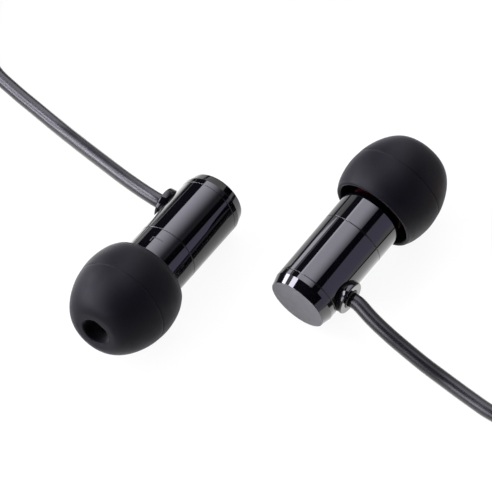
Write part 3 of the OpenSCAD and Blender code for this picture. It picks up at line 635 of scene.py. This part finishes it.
def rear_cap(side, matrix):
    """A grey flat face in a black rim with a chamfer, and a hollow spigot."""
    face_r, face_edge, face_depth = 3.65, 0.02, 0.004
    edge_z, inner_r = CAP_LEN - SEAM / 2, REAR_R - FIT_GAP
    spigot_z, spigot_r, plate_z, soft = edge_z + 0.6, inner_r - 0.55, 0.8, 0.05
    profile = rounded([
        (0, 0), (face_r, 0, 0.06), (SHELL_R, CAP_CHAMFER, 0.12), (SHELL_R, edge_z, SEAM_ROUND),
        (inner_r, edge_z), (inner_r, spigot_z, soft), (spigot_r, spigot_z, soft),
        (spigot_r, plate_z), (0, plate_z),
    ], closed=False)

    def grey_face(r, z):
        return int(z < face_depth and r < face_r - face_edge)

    cap = lathe(side + "_cap", profile, matrix, ["shell_black", "cap_grey"], sides=SHELL_SIDES,
                closed=False, pick=grey_face)
    return stands_for(cap, "earphones", "cap_grey", side + "_rear_cap")


def rear_housing(side, matrix):
    """The rear housing, with rings of points on either side of the gland's hole."""
    socket_r, step_z, past_hole, hole_len = LAP_R + FIT_GAP, REAR_END - LAP_LEN, 1.7, 6
    profile = rounded([
        (REAR_R, CAP_LEN), (SHELL_R, CAP_LEN, SEAM_ROUND), (SHELL_R, GLAND_Z - past_hole),
        (SHELL_R, GLAND_Z + past_hole), (SHELL_R, REAR_END, SEAM_ROUND),
        (socket_r, REAR_END, 0.04), (socket_r, step_z), (REAR_R, step_z),
        (REAR_R, GLAND_Z + past_hole), (REAR_R, GLAND_Z - past_hole),
    ], closed=True)
    housing = lathe(side + "_housing", profile, matrix, ["shell_black"], sides=SHELL_SIDES)
    cut_out(housing, [cutter(NECK_R + FIT_GAP, 0, hole_len, gland_axis(matrix), "shell_black")])
    return stands_for(housing, "earphones", "shell_black", side + "_rear_housing")


def front_housing(side, matrix):
    """The front housing: its lap, shoulder, nozzle with barb, mesh seat and driver seat."""
    shoulder_r, nozzle_r, barb_r, mouth_r, bore_r = 3.3, 2.3, 2.6, 1.97, 1.6
    barb_end, barb_ramp = NOZZLE_END - 0.8, 0.5
    barb_start = barb_end - 1.5
    lap_z, seam_z = REAR_END - (LAP_LEN - FIT_GAP), REAR_END + SEAM
    mesh_seat, bore_start = NOZZLE_END - 0.3, SEAT_Z + 1.2
    profile = rounded([
        (SEAT_R, lap_z), (LAP_R, lap_z), (LAP_R, seam_z), (SHELL_R, seam_z, SEAM_ROUND),
        (SHELL_R, FRONT_END, 0.1), (shoulder_r, FACE_Z, 0.12), (nozzle_r, FACE_Z, 0.1),
        (nozzle_r, barb_start, 0.1), (barb_r, barb_start + barb_ramp, 0.08),
        (barb_r, barb_end - barb_ramp, 0.08), (nozzle_r, barb_end, 0.1),
        (nozzle_r, NOZZLE_END, 0.15), (mouth_r, NOZZLE_END, 0.05), (mouth_r, mesh_seat),
        (bore_r, mesh_seat), (bore_r, bore_start), (DRIVER_BORE_R, SEAT_Z), (SEAT_R, SEAT_Z),
    ], closed=True)
    housing = lathe(side + "_front", profile, matrix, ["shell_black"], sides=SHELL_SIDES)
    return stands_for(housing, "earphones", "shell_black", side + "_front_housing")


def cable_gland(side, matrix):
    """The gland's flange follows the shell's round side, with a fine step at its foot."""
    low, foot, low_lift, step, near = 3.2, 3.3, 0.005, 0.05, 1e-4
    pocket_r, pocket_z = BUSH_R + FIT_GAP, GLAND_REACH + BUSH_OUT - BUSH_LEN

    def saddle(p):
        lift = math.sqrt(SHELL_R ** 2 - min(abs(p.x), SHELL_R) ** 2)
        if abs(p.z - low) < near:
            return Vector((p.x, p.y, lift + low_lift))
        if abs(p.z - foot) < near:
            return Vector((p.x, p.y, lift + step))
        return p

    profile = rounded([
        (CORD_BORE, NECK_END), (NECK_R, NECK_END, 0.05), (NECK_R, low), (GLAND_R - step, low),
        (GLAND_R, foot), (GLAND_R, GLAND_REACH, 0.15), (pocket_r, GLAND_REACH, 0.08),
        (pocket_r, pocket_z), (CORD_BORE, pocket_z),
    ], closed=True, steps=6)
    gland = lathe(side + "_gland", profile, gland_axis(matrix), ["gland_black"], sides=96,
                  shape=saddle)
    return stands_for(gland, "earphones", "gland_black", side + "_cable_gland")


def gland_bush(side, matrix):
    top = GLAND_REACH + BUSH_OUT
    profile = rounded([
        (CORD_BORE, top - BUSH_LEN), (BUSH_R, top - BUSH_LEN), (BUSH_R, top, 0.1),
        (CORD_BORE, top, 0.03),
    ], closed=True, steps=5)
    bush = lathe(side + "_bush", profile, gland_axis(matrix), ["bush_rubber"], sides=64)
    return stands_for(bush, "earphones", "bush_rubber", side + "_gland_bush")


# ---------- side marks ----------

MARK_Z = 12.05
MARK_HEIGHT = 1.26
MARK_STROKE = 0.13
MARK_PROUD = 0.012
MARK_TURN = {"left": 193, "right": 13}
MARK_STEP = 0.12
MARK_WIDTH = 0.66
BOWL_FOOT = 0.6
LEG_TOP = 0.28
BOWL_X, BOWL_Y, BOWL_WIDE, BOWL_HIGH = 0.3, 0.93, 0.34, 0.33
BOWL = [
    (BOWL_X + BOWL_WIDE * math.sin(a), BOWL_Y + BOWL_HIGH * math.cos(a))
    for a in (math.pi * k / 8 for k in range(9))
]
MARKS = {
    "left": [[(0, MARK_HEIGHT), (0, 0), (MARK_WIDTH, 0)]],
    "right": [
        [(0, 0), (0, MARK_HEIGHT)],
        [(0, MARK_HEIGHT)] + BOWL + [(0, BOWL_FOOT)],
        [(LEG_TOP, BOWL_FOOT), (MARK_WIDTH, 0)],
    ],
}


def side_mark(side, matrix):
    """The letter for the ear, as strokes a little proud of the front housing. It reads along
    the axis, from the cap to the ear tip, and starts at an angle around it."""
    bm = bmesh.new()

    def on_shell(along, up, r):
        a = math.radians(MARK_TURN[side]) - up / SHELL_R
        return bm.verts.new((r * math.cos(a), r * math.sin(a), MARK_Z + along))

    for stroke in MARKS[side]:
        points = [Vector(p) for p in stroke]
        for start, end in zip(points, points[1:]):
            way = (end - start).normalized() * MARK_STROKE / 2
            across = Vector((-way.y, way.x))
            count = max(1, round((end - start).length / MARK_STEP))
            rings = []
            for k in range(count + 1):
                p = (start - way).lerp(end + way, k / count)
                rings.append([
                    on_shell(*(p + sign * across), SHELL_R + height)
                    for sign, height in ((-1, -MARK_PROUD), (-1, MARK_PROUD), (1, MARK_PROUD),
                                         (1, -MARK_PROUD))
                ])
            for one, two in zip(rings, rings[1:]):
                for k in range(4):
                    j = (k + 1) % 4
                    bm.faces.new((one[k], one[j], two[j], two[k]))
            bm.faces.new(rings[0])
            bm.faces.new(rings[-1])
    bmesh.ops.recalc_face_normals(bm, faces=bm.faces)
    bm.transform(matrix)
    mark = piece_of(side + "_mark", bm, ["mark_grey"])
    mark.data.shade_flat()
    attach(mark, "earphones")


# ---------- ear tips ----------

DOME_END_R = 2.45
SKIRT_POWER, DOME_POWER = 1.62, 1.39


def tip_radius(z):
    """The tip's outer radius: a swelling skirt, a flank with little draught, and a dome."""
    rim, parting = TIP_R - 1.15, TIP_R - 0.13
    if z < WIDEST_Z:
        share = (WIDEST_Z - z) / (WIDEST_Z - RIM_Z)
        return rim + (TIP_R - rim) * math.sqrt(max(0, 1 - share ** SKIRT_POWER))
    if z < PARTING_Z:
        return TIP_R - (TIP_R - parting) * ((z - WIDEST_Z) / (PARTING_Z - WIDEST_Z)) ** 2
    share = (z - PARTING_Z) / (TIP_END - PARTING_Z)
    return DOME_END_R + (parting - DOME_END_R) * math.sqrt(max(0, 1 - share ** DOME_POWER))


def parting_line():
    """The points of a fine groove, whose lip towards the dome stands lower."""
    r, half, depth, near_lip, far_lip = tip_radius(PARTING_Z), 0.035, 0.045, 0.004, 0.02
    return [(r - near_lip, PARTING_Z - half), (r - depth, PARTING_Z),
            (r - far_lip, PARTING_Z + half)]


def ear_tip(side, matrix):
    """A soft tip: its skirt and dome outside, its mouth, and the hollow around the core."""
    rear_steps, flank_steps, dome_steps, wall_steps, arc_steps = 20, 5, 34, 12, 10
    lip = 0.24
    lip_z = RIM_Z + lip
    flank_end, dome_start = PARTING_Z - 0.08, PARTING_Z + 0.09
    rear_zs = [
        WIDEST_Z - (WIDEST_Z - lip_z) * (1 - k / rear_steps) ** 1.6
        for k in range(rear_steps + 1)
    ]
    flank_zs = [
        WIDEST_Z + (flank_end - WIDEST_Z) * k / flank_steps for k in range(1, flank_steps + 1)
    ]
    dome_zs = [
        dome_start + (TIP_END - dome_start) * math.sin(math.pi / 2 * k / dome_steps)
        for k in range(dome_steps + 1)
    ]
    outer = [(tip_radius(z), z) for z in rear_zs + flank_zs] + parting_line()
    outer += [(tip_radius(z), z) for z in dome_zs]
    core_r, core_end = CORE_R + 0.01, CORE_END + 0.01
    mouth = rounded([
        (DOME_END_R, TIP_END), (TIP_OPENING_R, TIP_END, 0.18), (TIP_OPENING_R, core_end),
    ], closed=False, steps=8)[1:]
    hollow_end, hollow_rise, thick = CORE_END - 1.8, 0.9, 1.6 * SKIRT_WALL
    hollow_r = tip_radius(hollow_end) - thick
    crown = [
        (core_r + (hollow_r - CORE_R) * math.cos(a), hollow_end + hollow_rise * math.sin(a))
        for a in (math.pi / 2 * (1 - k / arc_steps) for k in range(arc_steps + 1))
    ]
    inside = []
    for k in range(1, wall_steps + 1):
        z = hollow_end + (WIDEST_Z - hollow_end) * k / wall_steps
        inside.append((tip_radius(z) - thick - (SKIRT_WALL - thick) * k / wall_steps, z))
    inside += [(tip_radius(z) - SKIRT_WALL, z) for z in reversed(rear_zs[:-1])]
    middle = tip_radius(lip_z) - SKIRT_WALL / 2
    edge = [
        (middle - SKIRT_WALL / 2 * math.cos(a), lip_z - lip * math.sin(a))
        for a in (math.pi * k / arc_steps for k in range(1, arc_steps))
    ]
    profile = [Vector(p) for p in outer] + mouth
    profile += [Vector(p) for p in [(core_r, core_end)] + crown + inside + edge]
    tip = lathe(side + "_tip", profile, matrix, ["tip_silicone"], sides=160)
    return stands_for(tip, side + "_tip", "tip_silicone", side + "_ear_tip")


def tip_core(side, matrix):
    # the right core's red finish is darkened: painted shade inside the tip's mouth
    finish_name = "core_silicone_red" if side == "right" else "core_silicone_grey"
    profile = rounded([
        (CORE_BORE_R, CORE_Z, 0.15), (CORE_R, CORE_Z, 0.2), (CORE_R, CORE_END),
        (TIP_OPENING_R, CORE_END), (TIP_OPENING_R, LEDGE_Z, 0.1), (CORE_BORE_R, LEDGE_Z),
    ], closed=True)
    core = lathe(side + "_core", profile, matrix, [finish_name], sides=96)
    return stands_for(core, side + "_tip", finish_name, side + "_tip_core")


for side_name, side_matrix in SIDES.items():
    rear_cap(side_name, side_matrix)
    rear_housing(side_name, side_matrix)
    front_housing(side_name, side_matrix)
    cable_gland(side_name, side_matrix)
    gland_bush(side_name, side_matrix)
    nozzle_matrix = side_matrix @ Matrix.Translation((0, 0, TIP_EASE[side_name]))
    ear_tip(side_name, nozzle_matrix)
    tip_core(side_name, nozzle_matrix)
    side_mark(side_name, side_matrix)

# ---------- slider and Y-split ----------

SLIDER_D = 5.2
SPLIT_TAPER, SPLIT_END_D = 5.0, 2.8
LINE_DEPTH, LINE_HALF = 0.04, 0.04


def on_pair(x):
    """The matrix that turns a shape drawn along +Z along the cord pair, starting at x."""
    return (Matrix.Scale(MM, 4) @ Matrix.Translation((x, PAIR_Y, PAIR_Z))
            @ Matrix.Rotation(math.pi / 2, 4, "Y"))


def line_at(r, z):
    """The points of a fine parting line around a surface of radius r."""
    return [(r, z - LINE_HALF), (r - LINE_DEPTH, z), (r, z + LINE_HALF)]


def slider():
    r, soft, bore_gap, past = SLIDER_D / 2, 0.5, 0.12, 1
    profile = rounded(
        [(0, 0), (r, 0, soft)] + line_at(r, SLIDER_LEN / 2)
        + [(r, SLIDER_LEN, soft), (0, SLIDER_LEN)], closed=False, steps=8)
    place = on_pair(SLIDER_X)
    body = lathe("slider_body", profile, place, ["moulded_black"], sides=96, closed=False)
    cut_out(body, [
        cutter(CORD_R + bore_gap, -past, SLIDER_LEN + past,
               place @ Matrix.Translation((0, sign * PAIR_SPACING / 2, 0)), "moulded_black")
        for sign in (-1, 1)
    ])
    return stands_for(body, "cord_slider", "moulded_black", "slider")


def y_split():
    r, end_r, soft, taper_z = SLIDER_D / 2, SPLIT_END_D / 2, 0.5, SPLIT_LEN - SPLIT_TAPER
    taper_steps, end_soft, line_back = 20, 0.2, 0.6
    run = SPLIT_TAPER - end_soft
    taper = [
        (end_r + (r - end_r) * (1 - smooth(k / taper_steps)), taper_z + run * k / taper_steps)
        for k in range(taper_steps + 1)
    ]
    profile = rounded(
        [(0, 0), (r, 0, soft)] + line_at(r, taper_z - line_back) + taper
        + [(end_r - end_soft, SPLIT_LEN), (0, SPLIT_LEN)], closed=False, steps=8)
    body = lathe("y_split_body", profile, on_pair(SPLIT_X), ["moulded_black"], sides=96,
                 closed=False)
    return stands_for(body, "earphones", "moulded_black", "y_split")


PAIR_PIECES = [slider(), y_split()]

# ---------- plug ----------

CONTACT_R, CONTACT_LEN = 1.75, 14.0
FLANGE_R, FLANGE_LEN = 2.4, 2.0
SLEEVE_END, RING_START, RING_END, TIP_START = 6.8, 7.5, 9.9, 10.6
ROD_R, TUBE_WALL = 0.5, 0.22
FRONT_TUBE = ROD_R + TUBE_WALL
RING_TUBE = FRONT_TUBE + TUBE_WALL
REAR_TUBE = RING_TUBE + TUBE_WALL
RELIEF_R, RELIEF_END_R, RELIEF_RIBS, RELIEF_STEP = 1.9, 1.3, 5, 0.2
ON_PLUG = (Matrix.Scale(MM, 4) @ Matrix.Translation((PLUG_X, PLUG_Y, PLUG_Z))
           @ Matrix.Rotation(math.pi / 2, 4, "X"))


def plug_piece(node, slot, corners, closed=True, steps=4):
    """A revolved piece of the plug, which stands for the CAD node of that name."""
    body = lathe(node + "_body", rounded(corners, closed, steps), ON_PLUG, [slot], sides=96,
                 closed=closed)
    return stands_for(body, "earphones", slot, node)


def plug_contacts():
    """The contacts and the insulators between them, each a tube around the next one's stem."""
    shoulder, soft = 0.12, 0.05
    insulator_r = CONTACT_R - 0.02
    tip_len = CONTACT_LEN - TIP_START
    waist_r, bulge_r = 1.25, CONTACT_R - 0.1
    ball_z, ball_r, ball_in = CONTACT_LEN - 0.75, 0.7, CONTACT_R - 0.8
    ball = [
        (ball_in + ball_r * math.cos(a), ball_z + ball_r * math.sin(a))
        for a in (math.radians(20 + 55 * k / 8) for k in range(9))
    ]
    return [
        plug_piece("plug_sleeve", "contact_gold", [
            (REAR_TUBE, -FLANGE_LEN), (FLANGE_R, -FLANGE_LEN), (FLANGE_R, 0, 0.25),
            (CONTACT_R, 0, soft), (CONTACT_R, SLEEVE_END, soft), (REAR_TUBE, SLEEVE_END),
        ]),
        plug_piece("plug_rear_insulator", "insulator_black", [
            (RING_TUBE, -FLANGE_LEN), (REAR_TUBE, -FLANGE_LEN), (REAR_TUBE, SLEEVE_END),
            (insulator_r, SLEEVE_END), (insulator_r, RING_START), (RING_TUBE, RING_START),
        ]),
        plug_piece("plug_ring", "contact_gold", [
            (FRONT_TUBE, -FLANGE_LEN), (RING_TUBE, -FLANGE_LEN), (RING_TUBE, RING_START),
            (CONTACT_R, RING_START, soft), (CONTACT_R, RING_END, soft), (FRONT_TUBE, RING_END),
        ]),
        plug_piece("plug_front_insulator", "insulator_black", [
            (ROD_R, -FLANGE_LEN), (FRONT_TUBE, -FLANGE_LEN), (FRONT_TUBE, RING_END),
            (insulator_r, RING_END), (insulator_r, TIP_START), (ROD_R, TIP_START),
        ]),
        plug_piece("plug_tip", "contact_gold", [
            (0, -FLANGE_LEN), (ROD_R, -FLANGE_LEN), (ROD_R, TIP_START),
            (CONTACT_R, TIP_START, soft), (CONTACT_R, TIP_START + 0.1 * tip_len, shoulder),
            (waist_r, TIP_START + 0.38 * tip_len, 0.5), (bulge_r, TIP_START + 0.66 * tip_len, 0.3),
        ] + ball + [(0.5, CONTACT_LEN), (0, CONTACT_LEN)], closed=False, steps=6),
    ]


def plug_grip():
    r, round_r, groove_r, soft = 3.1, 0.7, 2.85, 0.12
    pitch, mouth, floor_half = 1.6, 0.5, 0.25
    grooves = []
    for k in range(3, -1, -1):
        z = -0.3 * GRIP_LEN - pitch * k
        grooves += [(r, z - mouth, soft), (groove_r, z - floor_half, soft),
                    (groove_r, z + floor_half, soft), (r, z + mouth, soft)]
    return plug_piece("plug_grip", "moulded_black", [
        (0, -GRIP_LEN), (r, -GRIP_LEN, round_r)] + grooves + [
        (r, 0, round_r / 2), (FLANGE_R + FIT_GAP, 0, 0.05), (FLANGE_R + FIT_GAP, -FLANGE_LEN),
        (0, -FLANGE_LEN),
    ], closed=False, steps=6)


def plug_strain_relief():
    """A taper of ribs, each a thick ring and a thin one of the same length."""
    rib, soft, foot_soft = RELIEF_LEN / (2 * RELIEF_RIBS), 0.08, 0.05
    corners = [(0, -GRIP_LEN)]
    for k in range(RELIEF_RIBS):
        z = -GRIP_LEN - 2 * k * rib
        r = RELIEF_R + (RELIEF_END_R - RELIEF_R) * k / (RELIEF_RIBS - 1)
        low = r - RELIEF_STEP
        corners += [(r, z, soft), (r, z - rib, soft), (low, z - rib, foot_soft),
                    (low, z - 2 * rib, foot_soft)]
    corners.append((0, -GRIP_LEN - RELIEF_LEN))
    return plug_piece("plug_strain_relief", "bush_rubber", corners, closed=False)


PLUG_PIECES = plug_contacts() + [plug_grip(), plug_strain_relief()]

# ---------- CAD nodes that stay ----------

KEPT = {
    "nozzle_mesh": "mesh_steel", "cord_knot": "cord_jacket", "inner_wires": "wire_copper",
    "driver_gasket": "gasket_foam", "diaphragm": "diaphragm_film",
    "voice_coil": "voice_coil_copper", "driver_frame": "driver_frame_plastic",
    "yoke": "driver_steel", "magnet": "magnet_nickel", "pole_plate": "driver_steel",
    "terminal_board": "board_green",
}

for part, finish_name in KEPT.items():
    for side_name in SIDES:
        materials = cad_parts[side_name + "_" + part].data.materials
        materials.clear()
        materials.append(MATERIALS[finish_name])

# ---------- light, floor and background ----------

OBJECT_CENTRE = Vector((0, 0, 5)) * MM


def direction(azimuth, elevation):
    """The direction from the object that has an azimuth and elevation in degrees."""
    a, e = math.radians(azimuth), math.radians(elevation)
    return Vector((math.cos(a) * math.cos(e), math.sin(a) * math.cos(e), math.sin(e)))


def glowing(name, strength, tint=(1, 1, 1), fade=None):
    """An emission material. fade is (place, way, start, stop, low): the strength falls to low
    between start and stop metres from the place, along the way, or all around for None."""
    material = bpy.data.materials.new(name)
    material.use_nodes = True
    tree = material.node_tree
    tree.nodes.clear()
    output = tree.nodes.new("ShaderNodeOutputMaterial")
    emission = tree.nodes.new("ShaderNodeEmission")
    emission.inputs["Color"].default_value = (*tint, 1)
    emission.inputs["Strength"].default_value = strength
    if fade:
        origin, way, start, stop, low = fade
        place = tree.nodes.new("ShaderNodeNewGeometry")
        run = tree.nodes.new("ShaderNodeVectorMath")
        run.operation = "DOT_PRODUCT" if way else "DISTANCE"
        run.inputs[1].default_value = way or origin
        offset = origin.dot(way) if way else 0
        level = tree.nodes.new("ShaderNodeMapRange")
        level.interpolation_type = "SMOOTHSTEP"
        level.inputs["From Min"].default_value = offset + start
        level.inputs["From Max"].default_value = offset + stop
        level.inputs["To Min"].default_value = strength
        level.inputs["To Max"].default_value = low
        tree.links.new(place.outputs["Position"], run.inputs[0])
        tree.links.new(run.outputs["Value"], level.inputs["Value"])
        tree.links.new(level.outputs["Result"], emission.inputs["Strength"])
    tree.links.new(emission.outputs["Emission"], output.inputs["Surface"])
    return material


def card(name, centre, across, upward, size, material, lights=False):
    """A flat studio card, seen by reflections but not by the camera, and never shading
    anything. One that lights sheds light as well."""
    x, y = across.normalized() * size[0] / 2, upward.normalized() * size[1] / 2
    mesh = bpy.data.meshes.new(name)
    corners = [centre - x - y, centre + x - y, centre + x + y, centre - x + y]
    mesh.from_pydata([tuple(c) for c in corners], [], [(0, 1, 2, 3)])
    mesh.materials.append(material)
    obj = make_object(name, mesh)
    obj.visible_camera = False
    obj.visible_diffuse = lights
    obj.visible_shadow = False


def aimed(azimuth, elevation, turn=0.0):
    """The direction of a card's centre and its two side directions, turned in its plane."""
    way = direction(azimuth, elevation)
    u = way.cross(Vector((0, 0, 1))).normalized()
    t = u.cross(way)
    q = math.radians(turn)
    return way, math.cos(q) * u + math.sin(q) * t, -math.sin(q) * u + math.cos(q) * t


def shifted(centre, across, upward, shift):
    """A card's centre, moved in its own plane."""
    return centre + across * shift[0] + upward * shift[1]


def card_at(name, azimuth, elevation, far, size, material, lights=False):
    """A card that faces the object from a direction, far metres away."""
    way, across, upward = aimed(azimuth, elevation)
    card(name, OBJECT_CENTRE + way * far, across, upward, size, material, lights)


SOFTBOX_FAR, SOFTBOX_FLAG_FAR, FLAG_FAR = 1.0, 1.3, 1.5
BACK_STRIP_FAR, LAMP_FAR, WALL_FAR = 0.6, 0.9, 2.0
SOFTBOX_SHIFT, EDGE_SHIFT, TOP_SHIFT = (0.035, 0.15), (-0.53, 0.55), (0.06, 1.5)
EDGE_IN_FRONT = 0.99
LAMP_TINT, WALL_TINT = (0.99, 0.97, 1.12), (0.88, 0.84, 1.22)
STRIP_HIGH, STRIP_STRENGTH = 0.26, 19.0
BLACK = glowing("flag_black", 0.0)

way, across, upward = aimed(65, 48, 14.5)
middle = OBJECT_CENTRE + way * SOFTBOX_FAR
slant = (0.79 * across - 0.61 * upward).normalized()
card("softbox", shifted(middle, across, upward, SOFTBOX_SHIFT), across, upward, (1.23, 1.26),
     glowing("softbox_glow", 5.2, LAMP_TINT, fade=(middle, slant, -0.35, 0.43, 0.22)),
     lights=True)
card("softbox_edge", shifted(middle * EDGE_IN_FRONT, across, upward, EDGE_SHIFT), across,
     upward, (0.1, 0.5), glowing("softbox_edge_glow", 7.0, LAMP_TINT))
card("flag_top",
     shifted(OBJECT_CENTRE + way * SOFTBOX_FLAG_FAR, across, upward, TOP_SHIFT), across,
     upward, (3.14, 4.2), BLACK)
card_at("flag_back", 107, 17, FLAG_FAR, (0.46, 0.74), BLACK)
card_at("flag_side", 40, 9, FLAG_FAR, (0.5, 0.3), BLACK)
card_at("flag_front", -80, 52, FLAG_FAR, (2.6, 1.7), BLACK)
card_at("back_strip", 123.5, 11, BACK_STRIP_FAR, (0.06, 0.15),
        glowing("back_strip_glow", 4.4, LAMP_TINT))
card_at("wall_card", -19, 19, WALL_FAR, (2.2, 2.0), glowing("wall_lilac", 1.0, WALL_TINT))
for strip_name, azimuth, elevation, width in (
    ("strip_low", 172, 16, 1.2), ("strip_high", 170, 47, 0.46),
):
    card_at(strip_name, azimuth, elevation, LAMP_FAR, (width, STRIP_HIGH),
            glowing(strip_name + "_glow", STRIP_STRENGTH, LAMP_TINT), lights=True)
way, across, upward = aimed(-140, 27)
middle = OBJECT_CENTRE + way * LAMP_FAR
card("front_fill", middle, across, upward, (0.72, 0.45),
     glowing("front_fill_glow", 9.5, LAMP_TINT, fade=(middle, -across, -0.05, 0.36, 0.0)),
     lights=True)

# glows just above the floor, which only the shells' undersides reflect
PAPER_GLOW_SIZE, PAPER_GLOW_Z = (0.04, 0.04), -0.03
for glow_name, x, y in (("paper_glow_right", 22, -12), ("paper_glow_left", -24, 16)):
    spot = Vector((x, y, PAPER_GLOW_Z)) * MM
    card(glow_name, spot, Vector((1, 0, 0)), Vector((0, 1, 0)), PAPER_GLOW_SIZE,
         glowing(glow_name, 2.4, fade=(spot, None, 0.01, 0.019, 1.0)))

FLOOR_Z = -0.05 * MM
FLOOR_HALF = 3.0
BACKGROUND = 1.0
floor_mesh = bpy.data.meshes.new("floor")
floor_mesh.from_pydata(
    [(x * FLOOR_HALF, y * FLOOR_HALF, FLOOR_Z) for x, y in ((-1, -1), (1, -1), (1, 1), (-1, 1))],
    [], [(0, 1, 2, 3)],
)
floor = make_object("floor", floor_mesh)


def seen_directly(tree):
    """1 for camera, glossy and transmission rays, else 0."""
    rays = tree.nodes.new("ShaderNodeLightPath")
    value = rays.outputs["Is Camera Ray"]
    for other in ("Is Glossy Ray", "Is Transmission Ray"):
        most = tree.nodes.new("ShaderNodeMath")
        most.operation = "MAXIMUM"
        tree.links.new(value, most.inputs[0])
        tree.links.new(rays.outputs[other], most.inputs[1])
        value = most.outputs["Value"]
    return value


PAPER_WHITE, PAPER_ROUGHNESS, OWN_WHITE = 0.92, 0.9, 0.93


def paper():
    """White paper: plain diffuse, and for what sees it directly a share OWN_WHITE of the
    background's own white, so that the rest keeps the object's shadow."""
    material = bpy.data.materials.new("paper")
    material.use_nodes = True
    tree = material.node_tree
    shader = tree.nodes["Principled BSDF"]
    shader.inputs["Base Color"].default_value = (PAPER_WHITE, PAPER_WHITE, PAPER_WHITE, 1)
    shader.inputs["Roughness"].default_value = PAPER_ROUGHNESS
    shader.inputs["Specular IOR Level"].default_value = 0.0
    emission = tree.nodes.new("ShaderNodeEmission")
    emission.inputs["Strength"].default_value = BACKGROUND
    share = tree.nodes.new("ShaderNodeMath")
    share.operation = "MULTIPLY"
    share.inputs[1].default_value = OWN_WHITE
    tree.links.new(seen_directly(tree), share.inputs[0])
    mix = tree.nodes.new("ShaderNodeMixShader")
    tree.links.new(share.outputs["Value"], mix.inputs["Fac"])
    tree.links.new(shader.outputs["BSDF"], mix.inputs[1])
    tree.links.new(emission.outputs["Emission"], mix.inputs[2])
    tree.links.new(mix.outputs["Shader"], tree.nodes["Material Output"].inputs["Surface"])
    return material


floor_mesh.materials.append(paper())

ROOM_TINT, ROOM_STRENGTH = (0.92, 0.93, 1.0, 1), 0.15


def studio_world():
    """White for what sees it directly, and a dim room for the light that it sheds."""
    world = bpy.data.worlds.new("studio")
    world.use_nodes = True
    tree = world.node_tree
    room = tree.nodes["Background"]
    room.inputs["Color"].default_value = ROOM_TINT
    room.inputs["Strength"].default_value = ROOM_STRENGTH
    white = tree.nodes.new("ShaderNodeBackground")
    white.inputs["Color"].default_value = (1, 1, 1, 1)
    white.inputs["Strength"].default_value = BACKGROUND
    mix = tree.nodes.new("ShaderNodeMixShader")
    tree.links.new(seen_directly(tree), mix.inputs["Fac"])
    tree.links.new(room.outputs["Background"], mix.inputs[1])
    tree.links.new(white.outputs["Background"], mix.inputs[2])
    tree.links.new(mix.outputs["Shader"], tree.nodes["World Output"].inputs["Surface"])
    return world


bpy.context.scene.world = studio_world()
bpy.context.scene.view_settings.view_transform = "Standard"
